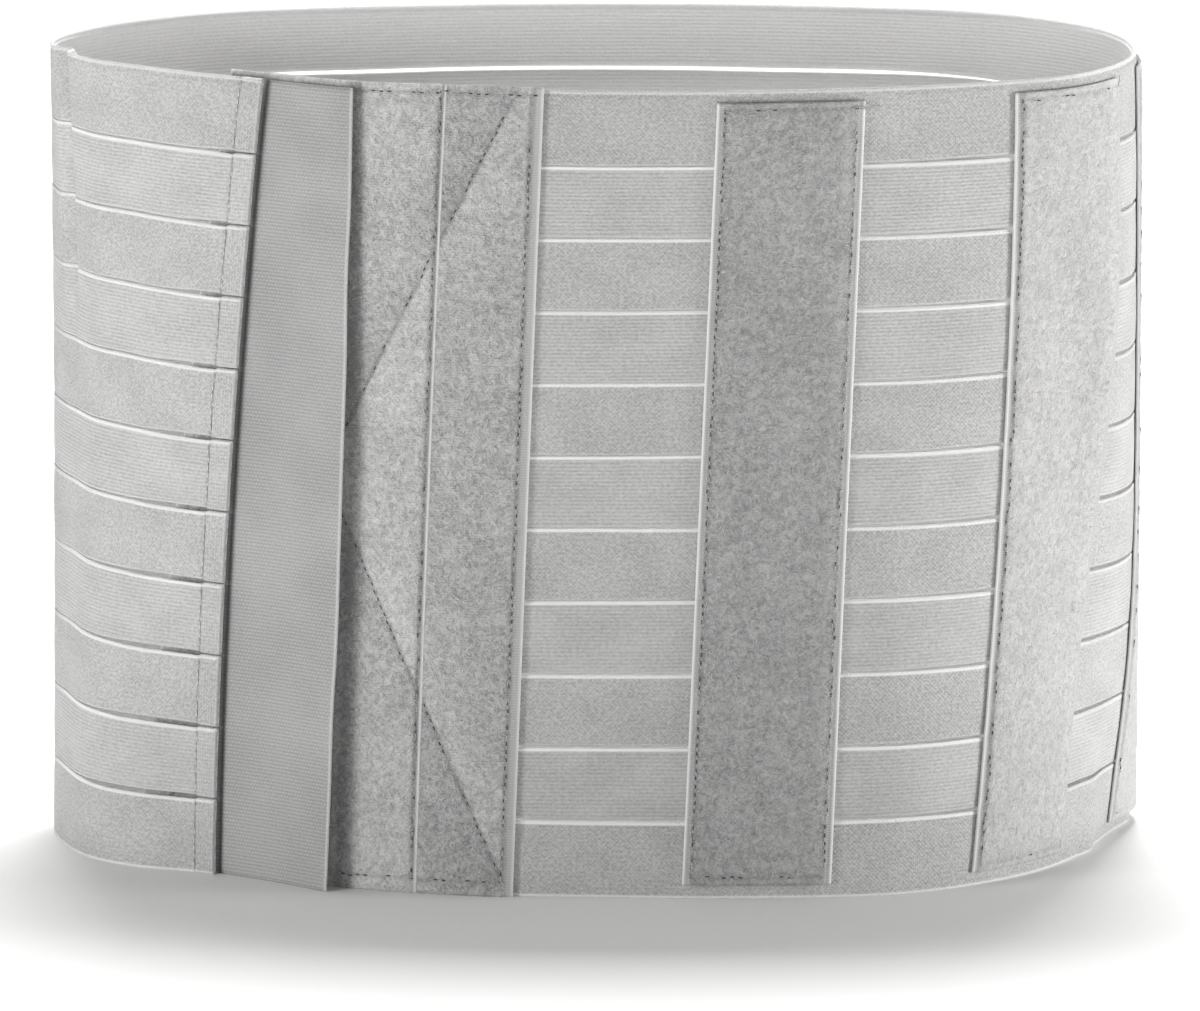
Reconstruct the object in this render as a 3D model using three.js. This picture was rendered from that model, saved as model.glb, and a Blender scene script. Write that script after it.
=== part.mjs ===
// Abdominal binder, standing on its lower edge as an oval ring that is open for the torso.
// Eleven elastic strips, with a narrow slit between each two, run from the loop panel at the front,
// round the right side, the back and the left side, to the hemmed end that closes over the panel.
// Millimetres, +Z up, the front towards -Y. The origin is at the middle of the foot.

import * as THREE from "three";

// Driving dimensions of the ring and its strips
const RING_WIDTH = 373.4;
const RING_DEPTH = 202;
const STRIP_COUNT = 11;
const STRIP_HEIGHT = 23.8;
const EDGE_STRIP_HEIGHT = 25.7;
const SLIT = 1.2;
const ELASTIC_WALL = 1.8;
const HEM_WIDTH = 8.5;

// Driving dimensions of the tapes that are sewn on
const LOOP_WALL = 1.6;
const HOOK_WALL = 1.2;
const PATCH_WIDTH = 50.8;
const PATCH_TOP_MARGIN = 4.2;
const PATCH_FOOT_MARGIN = 4.9;
const EDGE_TAPE_WIDTH = 38;
const TAPE_OVERLAP = 4.5;
const ELASTIC_TUCK = 20;
const PANEL_RISE = 1;
const HOOK_TAPE_WIDTH = 50.8;
const HOOK_TOP_MARGIN = 1;
const HOOK_LIFT = 7;

// Air between two layers that lie on each other, and how the closing end comes down to the ring
const LAYER_GAP = 0.42;
const PANEL_END_CLEARANCE = 4;
const RAMP_LENGTH = 60;

// Fineness of the faceted walls
const STRIP_STEPS = 86;
const TAPE_STEP = 5;
const CURVE_DIVISIONS = 600;

// Where the wall stands, from the front middle round to the right, the back and the left.
// across is a share of the half width. rim, middle and foot are depths at the three heights, as
// shares of the half depth.
const STATIONS = [
  { name: "front_middle", across: 0, rim: -1, middle: -0.96, foot: -1.05 },
  { name: "front_right", across: 0.28, rim: -0.995, middle: -0.93, foot: -1.07 },
  { name: "second_patch", across: 0.56, rim: -0.905, middle: -0.89, foot: -1 },
  { name: "right_shoulder", across: 0.75, rim: -0.78, middle: -0.72, foot: -0.74 },
  { name: "right_corner", across: 0.87, rim: -0.655, middle: -0.48, foot: -0.41 },
  { name: "right_side", across: 0.96, rim: -0.4, middle: -0.31, foot: 0.13 },
  { name: "right_tip", across: 1, rim: -0.04, middle: 0.02, foot: 0.4 },
  { name: "right_back", across: 0.95, rim: 0.4, middle: 0.45, foot: 0.68 },
  { name: "back_right", across: 0.75, rim: 0.77, middle: 0.8, foot: 0.85 },
  { name: "back_right_inner", across: 0.4, rim: 0.945, middle: 0.95, foot: 0.96 },
  { name: "back_middle", across: 0, rim: 1, middle: 1, foot: 1 },
  { name: "back_left_inner", across: -0.37, rim: 0.94, middle: 0.95, foot: 0.945 },
  { name: "back_left", across: -0.69, rim: 0.8, middle: 0.84, foot: 0.81 },
  { name: "left_back", across: -0.885, rim: 0.54, middle: 0.74, foot: 0.58 },
  { name: "left_tip_back", across: -0.98, rim: 0.28, middle: 0.57, foot: 0.33 },
  { name: "left_tip", across: -1.003, rim: 0.1, middle: 0.36, foot: 0.13 },
  { name: "left_front", across: -0.925, rim: -0.27, middle: -0.105, foot: -0.2 },
  { name: "closing_end", across: -0.815, rim: -0.39, middle: -0.31, foot: -0.42 },
  { name: "panel_left", across: -0.71, rim: -0.495, middle: -0.48, foot: -0.51 },
  { name: "panel_middle", across: -0.58, rim: -0.65, middle: -0.645, foot: -0.685 },
  { name: "panel_right", across: -0.43, rim: -0.82, middle: -0.82, foot: -0.86 },
  { name: "panel_edge", across: -0.215, rim: -0.925, middle: -0.94, foot: -1 },
];

// Creases that stand out of the wall. at and spread are shares of the girth, and push, how far one
// stands out, is a share of the half depth. The crease is full at height full, as a share of the
// whole height, and has faded out at height faded.
const CREASES = [
  { name: "left_crease", at: 0.762, spread: 0.012, push: 0.006, full: 1, faded: 0.4 },
  { name: "lower_right_crease", at: 0.222, spread: 0.014, push: 0.018, full: 0, faded: 0.2 },
];

// Edges of the tapes, as lengths along the wall from the front middle, to the right positive, in
// shares of the half width. Every edge leans, so it stands elsewhere at the rim than at the foot.
const EDGES = {
  patch_1_left: { rim: 0.225, middle: 0.193, foot: 0.16 },
  patch_2_left: { rim: 0.785, middle: 0.767, foot: 0.716 },
  patch_3_left: { rim: 1.19, middle: 1.23, foot: 1.28 },
  panel_right: { rim: -0.09, middle: -0.119, foot: -0.148 },
  panel_left: { rim: -0.71, middle: -0.83, foot: -0.93 },
  hem: { rim: -0.615, middle: -0.69, foot: -0.735 },
  hook_right: { rim: -0.437, middle: -0.448, foot: -0.478 },
};

// How far the free edge of the hook tape stands off, as shares of its lift
const LIFT = { rim: 0.1, middle: 0.65, foot: 1 };

const halfWidth = RING_WIDTH / 2;
const halfDepth = RING_DEPTH / 2;
const height =
  2 * EDGE_STRIP_HEIGHT + (STRIP_COUNT - 2) * STRIP_HEIGHT + (STRIP_COUNT - 1) * SLIT;

// Layers of the closure, as distances out from the outer face of the elastic ring
const edgeTapeInner = LAYER_GAP;
const wideTapeInner = edgeTapeInner + LOOP_WALL + LAYER_GAP;
const hookInner = wideTapeInner + LOOP_WALL + LAYER_GAP;
const hemInner = hookInner + HOOK_WALL + LAYER_GAP;
const closingOuter = hemInner + 2 * ELASTIC_WALL;

const OUTER = 0;
const INNER = 1;

function mix(from, to, share) {
  return from + (to - from) * share;
}

function smoothShare(value) {
  const share = THREE.MathUtils.clamp(value, 0, 1);
  return share * share * (3 - 2 * share);
}

// A value given at the foot, half way up and at the rim, on one parabola through the three.
function atHeight(values, z) {
  const share = z / height;
  return (
    values.foot * (1 - share) * (1 - 2 * share) +
    values.middle * 4 * share * (1 - share) +
    values.rim * share * (2 * share - 1)
  );
}

// The outer face of the elastic at one height: a smooth closed curve through the stations.
const curves = new Map();
function curveAt(z) {
  if (!curves.has(z)) {
    const points = STATIONS.map(
      (station) =>
        new THREE.Vector3(station.across * halfWidth, atHeight(station, z) * halfDepth, z),
    );
    const curve = new THREE.CatmullRomCurve3(points, true, "centripetal");
    curve.arcLengthDivisions = CURVE_DIVISIONS;
    curves.set(z, curve);
  }
  return curves.get(z);
}

function creasePush(share, z) {
  let push = 0;
  for (const crease of CREASES) {
    const side = 1 - smoothShare(Math.abs(share - crease.at) / crease.spread);
    const rise = smoothShare((z / height - crease.faded) / (crease.full - crease.faded));
    push += crease.push * halfDepth * side * rise;
  }
  return push;
}

// A point of the wall: arc is the length along the curve from the front middle, to the right
// positive, and out is the distance from the outer face of the elastic.
function wallPoint(arc, z, out) {
  const curve = curveAt(z);
  const share = THREE.MathUtils.euclideanModulo(arc / curve.getLength(), 1);
  const tangent = curve.getTangentAt(share);
  const outward = new THREE.Vector3(tangent.y, -tangent.x, 0).normalize();
  return curve.getPointAt(share).addScaledVector(outward, out + creasePush(share, z));
}

// The place of a leaning edge at one height, as a length along the curve.
function edgeArc(edge, z) {
  return atHeight(edge, z) * halfWidth;
}

// A closed solid of a wall: a grid of columns and rows on its outer and its inner face, joined
// along the four edges. pointAt gives a corner of the grid on one of the two faces.
function wallGeometry(columns, rows, pointAt) {
  const positions = [];
  for (const face of [OUTER, INNER])
    for (let row = 0; row <= rows; row += 1)
      for (let column = 0; column <= columns; column += 1)
        positions.push(...pointAt(column, row, face).toArray());

  const perFace = (columns + 1) * (rows + 1);
  const outer = (column, row) => row * (columns + 1) + column;
  const inner = (column, row) => perFace + outer(column, row);
  const triangles = [];
  const quad = (a, b, c, d) => triangles.push(a, b, c, a, c, d);

  for (let row = 0; row < rows; row += 1)
    for (let column = 0; column < columns; column += 1) {
      const next = column + 1;
      quad(outer(column, row), outer(next, row), outer(next, row + 1), outer(column, row + 1));
      quad(inner(column, row), inner(column, row + 1), inner(next, row + 1), inner(next, row));
    }
  for (let column = 0; column < columns; column += 1) {
    const next = column + 1;
    quad(inner(column, 0), inner(next, 0), outer(next, 0), outer(column, 0));
    quad(outer(column, rows), outer(next, rows), inner(next, rows), inner(column, rows));
  }
  for (let row = 0; row < rows; row += 1) {
    quad(inner(0, row), outer(0, row), outer(0, row + 1), inner(0, row + 1));
    quad(outer(columns, row), inner(columns, row), inner(columns, row + 1), outer(columns, row + 1));
  }

  const geometry = new THREE.BufferGeometry();
  geometry.setAttribute("position", new THREE.Float32BufferAttribute(positions, 3));
  geometry.setIndex(triangles);
  geometry.computeVertexNormals();
  return geometry;
}

// Where the loop panel begins and ends
function panelRight(z) {
  return edgeArc(EDGES.panel_right, z);
}
function wideTapeRight(z) {
  return panelRight(z) - EDGE_TAPE_WIDTH + TAPE_OVERLAP;
}
function panelLeft(z) {
  return edgeArc(EDGES.panel_left, z);
}
function hemArc(z) {
  return edgeArc(EDGES.hem, z);
}

// How far the outer face of the closing end stands off the ring: full over the panel, then down
// to the ring round the left tip.
function closingOut(arc, z) {
  const full = panelLeft(z) - PANEL_END_CLEARANCE;
  return closingOuter * smoothShare((arc - (full - RAMP_LENGTH)) / RAMP_LENGTH);
}

// One elastic strip between two heights. It is one wall thick, and folded double in the hem.
function stripGeometry(low, high) {
  const foldStep = ELASTIC_WALL / 2;
  const heights = [low, high];
  const arcs = heights.map((z) => {
    const start = panelRight(z) - ELASTIC_TUCK;
    const end = hemArc(z) + curveAt(z).getLength();
    const hemStart = end - HEM_WIDTH;
    const even = Array.from({ length: STRIP_STEPS + 1 }, (_, step) =>
      mix(start, hemStart, step / STRIP_STEPS),
    );
    return [...even, hemStart + foldStep, end];
  });
  const columns = STRIP_STEPS + 2;
  return wallGeometry(columns, 1, (column, row, face) => {
    const z = heights[row];
    const arc = arcs[row][column];
    const girth = curveAt(z).getLength();
    const out = arc > girth / 2 ? closingOut(arc - girth, z) : 0;
    const layers = column > STRIP_STEPS ? 2 : 1;
    return wallPoint(arc, z, face === OUTER ? out : out - layers * ELASTIC_WALL);
  });
}

// The heights of the strips' edges, from the foot to the rim
const stripLevels = [];
for (let strip = 0, z = 0; strip < STRIP_COUNT; strip += 1) {
  const edge = strip === 0 || strip === STRIP_COUNT - 1;
  const tall = edge ? EDGE_STRIP_HEIGHT : STRIP_HEIGHT;
  stripLevels.push({ low: z, high: z + tall });
  z += tall + SLIT;
}

// A tape that lies flat against the ring, between two leaning edges and two heights. Its rows
// follow the slits, so it lies against the strips. inner gives the distance of its inner face.
function tapeGeometry({ left, right, foot, top, wall, inner }) {
  const slits = stripLevels.slice(1).map((level) => level.low - SLIT / 2);
  const heights = [foot, ...slits, top];
  const columns = Math.ceil((right(height) - left(height)) / TAPE_STEP);
  return wallGeometry(columns, heights.length - 1, (column, row, face) => {
    const z = heights[row];
    const arc = mix(left(z), right(z), column / columns);
    const base = inner(arc, z);
    return wallPoint(arc, z, face === OUTER ? base + wall : base);
  });
}

function patchGeometry(edge) {
  return tapeGeometry({
    left: (z) => edgeArc(edge, z),
    right: (z) => edgeArc(edge, z) + PATCH_WIDTH,
    foot: PATCH_FOOT_MARGIN,
    top: height - PATCH_TOP_MARGIN,
    wall: LOOP_WALL,
    inner: () => LAYER_GAP,
  });
}

function edgeTapeGeometry() {
  return tapeGeometry({
    left: (z) => panelRight(z) - EDGE_TAPE_WIDTH,
    right: panelRight,
    foot: 0,
    top: height + PANEL_RISE,
    wall: LOOP_WALL,
    inner: () => edgeTapeInner,
  });
}

function wideTapeGeometry() {
  return tapeGeometry({
    left: panelLeft,
    right: wideTapeRight,
    foot: 0,
    top: height + PANEL_RISE,
    wall: LOOP_WALL,
    inner: () => wideTapeInner,
  });
}

// The hook tape starts under the hem and runs out to the right. Past the hem it lifts off the
// panel towards its free edge.
function hookTapeGeometry() {
  const hookRight = (z) => edgeArc(EDGES.hook_right, z);
  return tapeGeometry({
    left: (z) => hookRight(z) - HOOK_TAPE_WIDTH,
    right: hookRight,
    foot: 0,
    top: height - HOOK_TOP_MARGIN,
    wall: HOOK_WALL,
    inner: (arc, z) => {
      const free = Math.max(0, (arc - hemArc(z)) / (hookRight(z) - hemArc(z)));
      return hookInner + HOOK_LIFT * atHeight(LIFT, z) * free * free;
    },
  });
}

const elastic = new THREE.MeshStandardMaterial({ color: 0xcfcfce, roughness: 0.85, metalness: 0 });
const loopPile = new THREE.MeshStandardMaterial({ color: 0xb4b4b3, roughness: 0.95, metalness: 0 });
const hookBacking = new THREE.MeshStandardMaterial({
  color: 0x9c9c9b,
  roughness: 0.7,
  metalness: 0,
});

const binder = new THREE.Group();
function add(name, geometry, material) {
  const mesh = new THREE.Mesh(geometry, material);
  mesh.name = name;
  binder.add(mesh);
}

[...stripLevels].reverse().forEach(({ low, high }, index) => {
  const number = String(index + 1).padStart(2, "0");
  add(`elastic_strip_${number}`, stripGeometry(low, high), elastic);
});
add("loop_panel_edge_tape", edgeTapeGeometry(), loopPile);
add("loop_panel_wide_tape", wideTapeGeometry(), loopPile);
add("hook_tape", hookTapeGeometry(), hookBacking);
add("loop_patch_1", patchGeometry(EDGES.patch_1_left), loopPile);
add("loop_patch_2", patchGeometry(EDGES.patch_2_left), loopPile);
add("loop_patch_3", patchGeometry(EDGES.patch_3_left), loopPile);

// The origin goes to the middle of the foot.
const middle = new THREE.Box3().setFromObject(binder).getCenter(new THREE.Vector3());
binder.position.set(-middle.x, -middle.y, 0);

export default binder;
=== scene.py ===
"""Abdominal binder: slit elastic strips, loop tapes and a hook tape round an open oval ring.

Lengths are metres. The ring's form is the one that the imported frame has, so every piece lies
where its solid lies. A place on the ring is an arc, a height and a distance out. The arc is the
length along the outer face of the elastic from the front middle, positive to the right, and the
distance out is measured from that face.
"""

import logging
import math
from collections.abc import Callable
from dataclasses import dataclass, field
from enum import Enum
from typing import Any

import bmesh
import bpy
import numpy as np
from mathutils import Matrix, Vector

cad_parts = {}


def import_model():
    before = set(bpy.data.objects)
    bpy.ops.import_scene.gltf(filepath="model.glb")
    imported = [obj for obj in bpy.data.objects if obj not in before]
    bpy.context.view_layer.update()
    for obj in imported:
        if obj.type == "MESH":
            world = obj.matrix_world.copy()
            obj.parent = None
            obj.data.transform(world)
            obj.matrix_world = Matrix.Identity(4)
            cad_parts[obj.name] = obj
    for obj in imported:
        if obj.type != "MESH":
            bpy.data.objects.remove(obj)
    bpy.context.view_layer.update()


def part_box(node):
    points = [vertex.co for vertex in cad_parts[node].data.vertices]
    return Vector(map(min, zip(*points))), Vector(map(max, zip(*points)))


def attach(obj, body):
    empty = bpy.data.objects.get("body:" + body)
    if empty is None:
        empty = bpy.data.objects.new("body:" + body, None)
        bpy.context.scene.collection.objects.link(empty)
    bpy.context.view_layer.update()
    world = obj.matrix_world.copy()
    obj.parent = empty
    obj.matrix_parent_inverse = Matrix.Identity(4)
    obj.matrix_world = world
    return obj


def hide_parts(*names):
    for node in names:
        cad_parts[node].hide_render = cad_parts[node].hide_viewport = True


LOG = logging.getLogger("binder")
BODY = "root"
CLOTH = "cloth"
PILE = "pile"
SEAM = "seam"
# Attribute of painted light and shade: painted shadows and highlights on the pile and the hook
# backing, with the pile's brushed nap.
NAP_AND_LIGHT = "nap_and_light"
EDGE = "edge"
MM = 0.001
WELD = 1e-7
HEM_WIDTH = 8.5 * MM
FUZZ_SEED = 50
# Where the side of the cloth passes from its inner face, -1, to its outer face, 1.
FACE_TURN = (-0.6, 0.2)
# The part of a noise's range that the blotches of a cloth use.
MOTTLE_RANGE = (0.3, 0.7)
# How far each row of knots is shifted against the row below, in knots.
HALF_STEP = 0.5

TAPE_NODES = (
    "loop_panel_edge_tape",
    "loop_panel_wide_tape",
    "loop_patch_1",
    "loop_patch_2",
    "loop_patch_3",
)

Values = np.ndarray
Grey = tuple[float, float, float, float]


def smooth(value: Values | float) -> Values:
    """Returns the smooth step of a value that is held between 0 and 1."""
    share = np.clip(value, 0.0, 1.0)
    return share * share * (3 - 2 * share)


def bell(distance: Values, width: float) -> Values:
    """Returns a bell that is 1 at no distance and falls off over a width."""
    return np.exp(-((distance / width) ** 2))


def grey(tone: float) -> Grey:
    """Returns a neutral colour of one tone, a touch warm."""
    return (tone, tone * 0.998, tone * 0.99, 1.0)


@dataclass(frozen=True)
class Lean:
    """A value at the rim, half way up and at the foot, on one parabola through the three."""

    rim: float
    middle: float
    foot: float

    def at(self, share: Values | float) -> Values:
        """Gives the value at a share of the height.

        Args:
            share: Height over the whole height, 0 at the foot.

        Returns:
            The value there.
        """
        foot = self.foot * (1 - share) * (1 - 2 * share)
        middle = self.middle * 4 * share * (1 - share)
        return foot + middle + self.rim * share * (2 * share - 1)


@dataclass(frozen=True)
class Station:
    """A point of the ring's plan: across is a share of the half width, depth of the half depth."""

    name: str
    across: float
    depth: Lean


STATIONS: tuple[Station, ...] = (
    Station("front_middle", 0, Lean(-1, -0.96, -1.05)),
    Station("front_right", 0.28, Lean(-0.995, -0.93, -1.07)),
    Station("second_patch", 0.56, Lean(-0.905, -0.89, -1)),
    Station("right_shoulder", 0.75, Lean(-0.78, -0.72, -0.74)),
    Station("right_corner", 0.87, Lean(-0.655, -0.48, -0.41)),
    Station("right_side", 0.96, Lean(-0.4, -0.31, 0.13)),
    Station("right_tip", 1, Lean(-0.04, 0.02, 0.4)),
    Station("right_back", 0.95, Lean(0.4, 0.45, 0.68)),
    Station("back_right", 0.75, Lean(0.77, 0.8, 0.85)),
    Station("back_right_inner", 0.4, Lean(0.945, 0.95, 0.96)),
    Station("back_middle", 0, Lean(1, 1, 1)),
    Station("back_left_inner", -0.37, Lean(0.94, 0.95, 0.945)),
    Station("back_left", -0.69, Lean(0.8, 0.84, 0.81)),
    Station("left_back", -0.885, Lean(0.54, 0.74, 0.58)),
    Station("left_tip_back", -0.98, Lean(0.28, 0.57, 0.33)),
    Station("left_tip", -1.003, Lean(0.1, 0.36, 0.13)),
    Station("left_front", -0.925, Lean(-0.27, -0.105, -0.2)),
    Station("closing_end", -0.815, Lean(-0.39, -0.31, -0.42)),
    Station("panel_left", -0.71, Lean(-0.495, -0.48, -0.51)),
    Station("panel_middle", -0.58, Lean(-0.65, -0.645, -0.685)),
    Station("panel_right", -0.43, Lean(-0.82, -0.82, -0.86)),
    Station("panel_edge", -0.215, Lean(-0.925, -0.94, -1)),
)


@dataclass(frozen=True)
class Crease:
    """A crease that stands out of the wall; at and spread are shares of the girth."""

    name: str
    at: float
    spread: float
    push: float
    full: float
    faded: float


CREASES: tuple[Crease, ...] = (
    Crease("left_crease", 0.762, 0.012, 0.006, 1, 0.4),
    Crease("lower_right_crease", 0.222, 0.014, 0.018, 0, 0.2),
)


@dataclass(frozen=True)
class SlitShape:
    """How far the slits stand open round the ring, as shares of their width.

    A row of a table is an arc in millimetres and the value there. In the table of the left side the
    arcs are counted back from the front middle. Slits are counted from the top.
    """

    front: tuple[tuple[float, float], ...] = (
        (-60, 0.06),
        (55, 0.06),
        (100, 0.4),
        (135, 0.8),
        (200, 1),
        (222, 0.8),
        (234, 0.06),
        (560, 0.06),
        (1200, 0.06),
    )
    back: tuple[tuple[float, float], ...] = ((300, 0), (380, 1), (590, 1), (650, 0))
    side: tuple[tuple[float, float], ...] = ((-222, 0), (-204, 0.12), (-185, 0.4), (0, 0.4))
    front_end: float = 300 * MM
    lower_front: float = 0.5
    lower_front_from: int = 5
    lower_side: float = 0.7
    lower_side_from: int = 4
    lower_slits: int = 3
    last_slit: int = 9
    before_hem: float = 1.25
    dark_reach: tuple[float, float] = (34 * MM, 72 * MM)
    parting: float = 30 * MM
    hem: float = 0.3
    hem_reach: float = 9 * MM
    hem_turn: float = 1.5 * MM
    wave: float = 0.16 * MM
    wave_cell: float = 35 * MM
    wave_seed: int = 200
    lift: float = 3.6 * MM
    lifted: tuple[tuple[float, float], ...] = ((270, 0), (370, 1), (580, 1), (680, 0))

    def opening(self, arc: Values, girth: Values, to_end: Values, slit: int) -> Values:
        """Gives the open share of a slit.

        Args:
            arc: Arcs.
            girth: The ring's girth there.
            to_end: Distance to the fold of the closing end.
            slit: The slit's place from the top.

        Returns:
            Shares between 0 and 1.
        """
        front = np.interp(arc / MM, *np.array(self.front).T)
        lower = smooth((slit - self.lower_front_from) / self.lower_slits) * self.lower_front
        front = np.maximum(front, np.where(arc < self.front_end, lower, 0))
        side = np.interp((arc - girth) / MM, *np.array(self.side).T) * (arc > girth / 2)
        low_side = smooth((slit - self.lower_side_from) / self.lower_slits)
        side = side * (1 + self.lower_side * low_side)
        back = np.interp(arc / MM, *np.array(self.back).T) * (slit == 0)
        near, far = self.dark_reach
        reach = near + (far - near) * slit / self.last_slit
        parted = self.before_hem * smooth((reach - to_end) / self.parting) * (arc > girth / 2)
        share = np.maximum(np.maximum(np.maximum(front, side), back), parted)
        in_hem = smooth((self.hem_reach - to_end) / self.hem_turn)
        return share * (1 - in_hem) + np.minimum(share, self.hem) * in_hem

    def shift(self, arc: Values, slit: int) -> Values:
        """Gives how far a slit lies over its level.

        Args:
            arc: Arcs.
            slit: The slit's place from the top; the first one rises at the back.

        Returns:
            Shifts upwards.
        """
        uneven = Unevenness(self.wave_seed + slit)
        wave = uneven.at(arc, np.zeros_like(arc), (self.wave_cell, 1)) * self.wave
        rise = smooth(np.interp(arc / MM, *np.array(self.lifted).T)) * self.lift
        return wave + rise * (slit == 0)


@dataclass(frozen=True)
class Layers:
    """How the layers lie over each other, as distances out from the outer face of the elastic."""

    elastic_wall: float = 1.8 * MM
    loop_wall: float = 1.6 * MM
    hook_wall: float = 1.2 * MM
    gap: float = 0.42 * MM

    @property
    def edge_tape(self) -> float:
        """Returns where the inner face of the narrow panel tape lies."""
        return self.gap

    @property
    def wide_tape(self) -> float:
        """Returns where the inner face of the wide panel tape lies."""
        return self.edge_tape + self.loop_wall + self.gap

    @property
    def hook(self) -> float:
        """Returns where the inner face of the hook tape lies."""
        return self.wide_tape + self.loop_wall + self.gap

    @property
    def closing(self) -> float:
        """Returns where the outer face of the closing end lies."""
        return self.hook + self.hook_wall + self.gap + 2 * self.elastic_wall


@dataclass
class RingForm:
    """The standing form of the ring: its plan at every height and the leaning edges on it."""

    width: float = 373.4 * MM
    depth: float = 202 * MM
    strip_count: int = 11
    strip_height: float = 23.8 * MM
    edge_strip_height: float = 25.7 * MM
    slit: float = 1.2 * MM
    patch_width: float = 50.8 * MM
    patch_top_margin: float = 4.2 * MM
    patch_foot_margin: float = 4.9 * MM
    edge_tape_width: float = 38 * MM
    tape_overlap: float = 4.5 * MM
    elastic_tuck: float = 20 * MM
    panel_rise: float = 1 * MM
    panel_end_clearance: float = 4 * MM
    ramp_length: float = 60 * MM
    layers: Layers = field(default_factory=Layers)
    patch_edges: tuple[Lean, ...] = (
        Lean(0.225, 0.193, 0.16),
        Lean(0.785, 0.767, 0.716),
        Lean(1.19, 1.23, 1.28),
    )
    panel_right_edge: Lean = Lean(-0.09, -0.119, -0.148)
    panel_left_edge: Lean = Lean(-0.71, -0.83, -0.93)
    hem_edge: Lean = Lean(-0.615, -0.69, -0.735)
    hook_right_edge: Lean = Lean(-0.437, -0.448, -0.478)
    row_step: float = 2 * MM
    arc_step: float = 1 * MM
    arc_low: float = -280 * MM
    arc_high: float = 1000 * MM
    span_samples: int = 60
    last_cell: float = 1.001
    shift: Vector = field(default_factory=lambda: Vector((0, 0, 0)))

    def __post_init__(self) -> None:
        """Works out the wall's points and outward directions on a lattice of arcs and heights."""
        self.height = (
            2 * self.edge_strip_height
            + (self.strip_count - 2) * self.strip_height
            + (self.strip_count - 1) * self.slit
        )
        self.rows = np.arange(-self.row_step, self.height + 3 * self.row_step, self.row_step)
        self.arcs = np.arange(self.arc_low, self.arc_high, self.arc_step)
        made = [self._row(z / self.height) for z in self.rows]
        self.points = np.stack([points for points, _, _ in made])
        self.outward = np.stack([outward for _, outward, _ in made])
        self.girths = np.array([girth for _, _, girth in made])

    def _outline(self, share: float) -> Values:
        """Samples the smooth closed curve through the stations.

        Args:
            share: Share of the height.

        Returns:
            Points of the plan, one row each.
        """
        here = np.array(
            [
                (s.across * self.width / 2, float(s.depth.at(share)) * self.depth / 2)
                for s in STATIONS
            ]
        )
        before, after, last = (np.roll(here, turn, axis=0) for turn in (1, -1, -2))

        def span(start: Values, end: Values) -> Values:
            """Returns the root of the distance between stations, which spaces the curve."""
            return np.sqrt(np.linalg.norm(end - start, axis=1))[:, None]

        first, second, third = span(before, here), span(here, after), span(after, last)
        leave = (here - before) / first - (after - before) / (first + second)
        leave = (leave + (after - here) / second) * second
        arrive = (after - here) / second - (last - here) / (second + third)
        arrive = (arrive + (last - after) / third) * second
        t = np.linspace(0, 1, self.span_samples, endpoint=False)[None, :, None]
        square = -3 * here + 3 * after - 2 * leave - arrive
        cube = 2 * here - 2 * after + leave + arrive
        curve = (
            here[:, None] + leave[:, None] * t + square[:, None] * t**2 + cube[:, None] * t**3
        )
        return curve.reshape(-1, 2)

    def _row(self, share: float) -> tuple[Values, Values, float]:
        """Works out one height of the lattice.

        Args:
            share: Share of the height.

        Returns:
            The wall's points, its outward directions and the girth.
        """
        curve = self._outline(share)
        closed = np.vstack([curve, curve[:1]])
        lengths = np.concatenate([[0], np.cumsum(np.linalg.norm(np.diff(closed, axis=0), axis=1))])
        girth = float(lengths[-1])
        tangent = np.roll(curve, -1, axis=0) - np.roll(curve, 1, axis=0)
        tangent /= np.linalg.norm(tangent, axis=1)[:, None]
        normal = np.stack([tangent[:, 1], -tangent[:, 0]], axis=1)
        normal = np.vstack([normal, normal[:1]])
        wrapped = np.mod(self.arcs, girth)
        points = np.stack([np.interp(wrapped, lengths, closed[:, k]) for k in range(2)], axis=1)
        outward = np.stack([np.interp(wrapped, lengths, normal[:, k]) for k in range(2)], axis=1)
        outward /= np.linalg.norm(outward, axis=1)[:, None]
        push = np.zeros(len(wrapped))
        for crease in CREASES:
            side = 1 - smooth(np.abs(wrapped / girth - crease.at) / crease.spread)
            rise = smooth((share - crease.faded) / (crease.full - crease.faded))
            push += crease.push * self.depth / 2 * side * rise
        return points + outward * push[:, None], outward, girth

    def _lookup(self, table: Values, arc: Values, z: Values) -> Values:
        """Reads a table of the lattice between its rows and columns.

        Args:
            table: Values for each height and arc.
            arc: Arcs.
            z: Heights, of the same shape.

        Returns:
            The values there, with the table's own last axis.
        """
        last_column, last_row = len(self.arcs) - self.last_cell, len(self.rows) - self.last_cell
        column = np.clip((arc - self.arcs[0]) / self.arc_step, 0, last_column)
        row = np.clip((z - self.rows[0]) / self.row_step, 0, last_row)
        i, j = column.astype(int), row.astype(int)
        u, v = (column - i)[..., None], (row - j)[..., None]
        low = table[j, i] * (1 - u) + table[j, i + 1] * u
        high = table[j + 1, i] * (1 - u) + table[j + 1, i + 1] * u
        return low * (1 - v) + high * v

    def place(self, arc: Values, z: Values, out: Values) -> Values:
        """Gives points of space for places on the ring.

        Args:
            arc: Arcs.
            z: Heights.
            out: Distances out from the elastic's outer face.

        Returns:
            Points, with the three coordinates on the last axis.
        """
        arc, z, out = np.broadcast_arrays(arc, z, out)
        outward = self._lookup(self.outward, arc, z)
        plan = self._lookup(self.points, arc, z) + outward * out[..., None]
        return np.concatenate([plan, z[..., None]], axis=-1) + np.array(self.shift)

    def girth(self, z: Values) -> Values:
        """Returns the girth at heights."""
        return np.interp(z, self.rows, self.girths)

    def edge(self, lean: Lean, z: Values) -> Values:
        """Returns the arc of a leaning edge at heights."""
        return lean.at(z / self.height) * self.width / 2

    def panel_right(self, z: Values) -> Values:
        """Returns the arc of the loop panel's right edge."""
        return self.edge(self.panel_right_edge, z)

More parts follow.
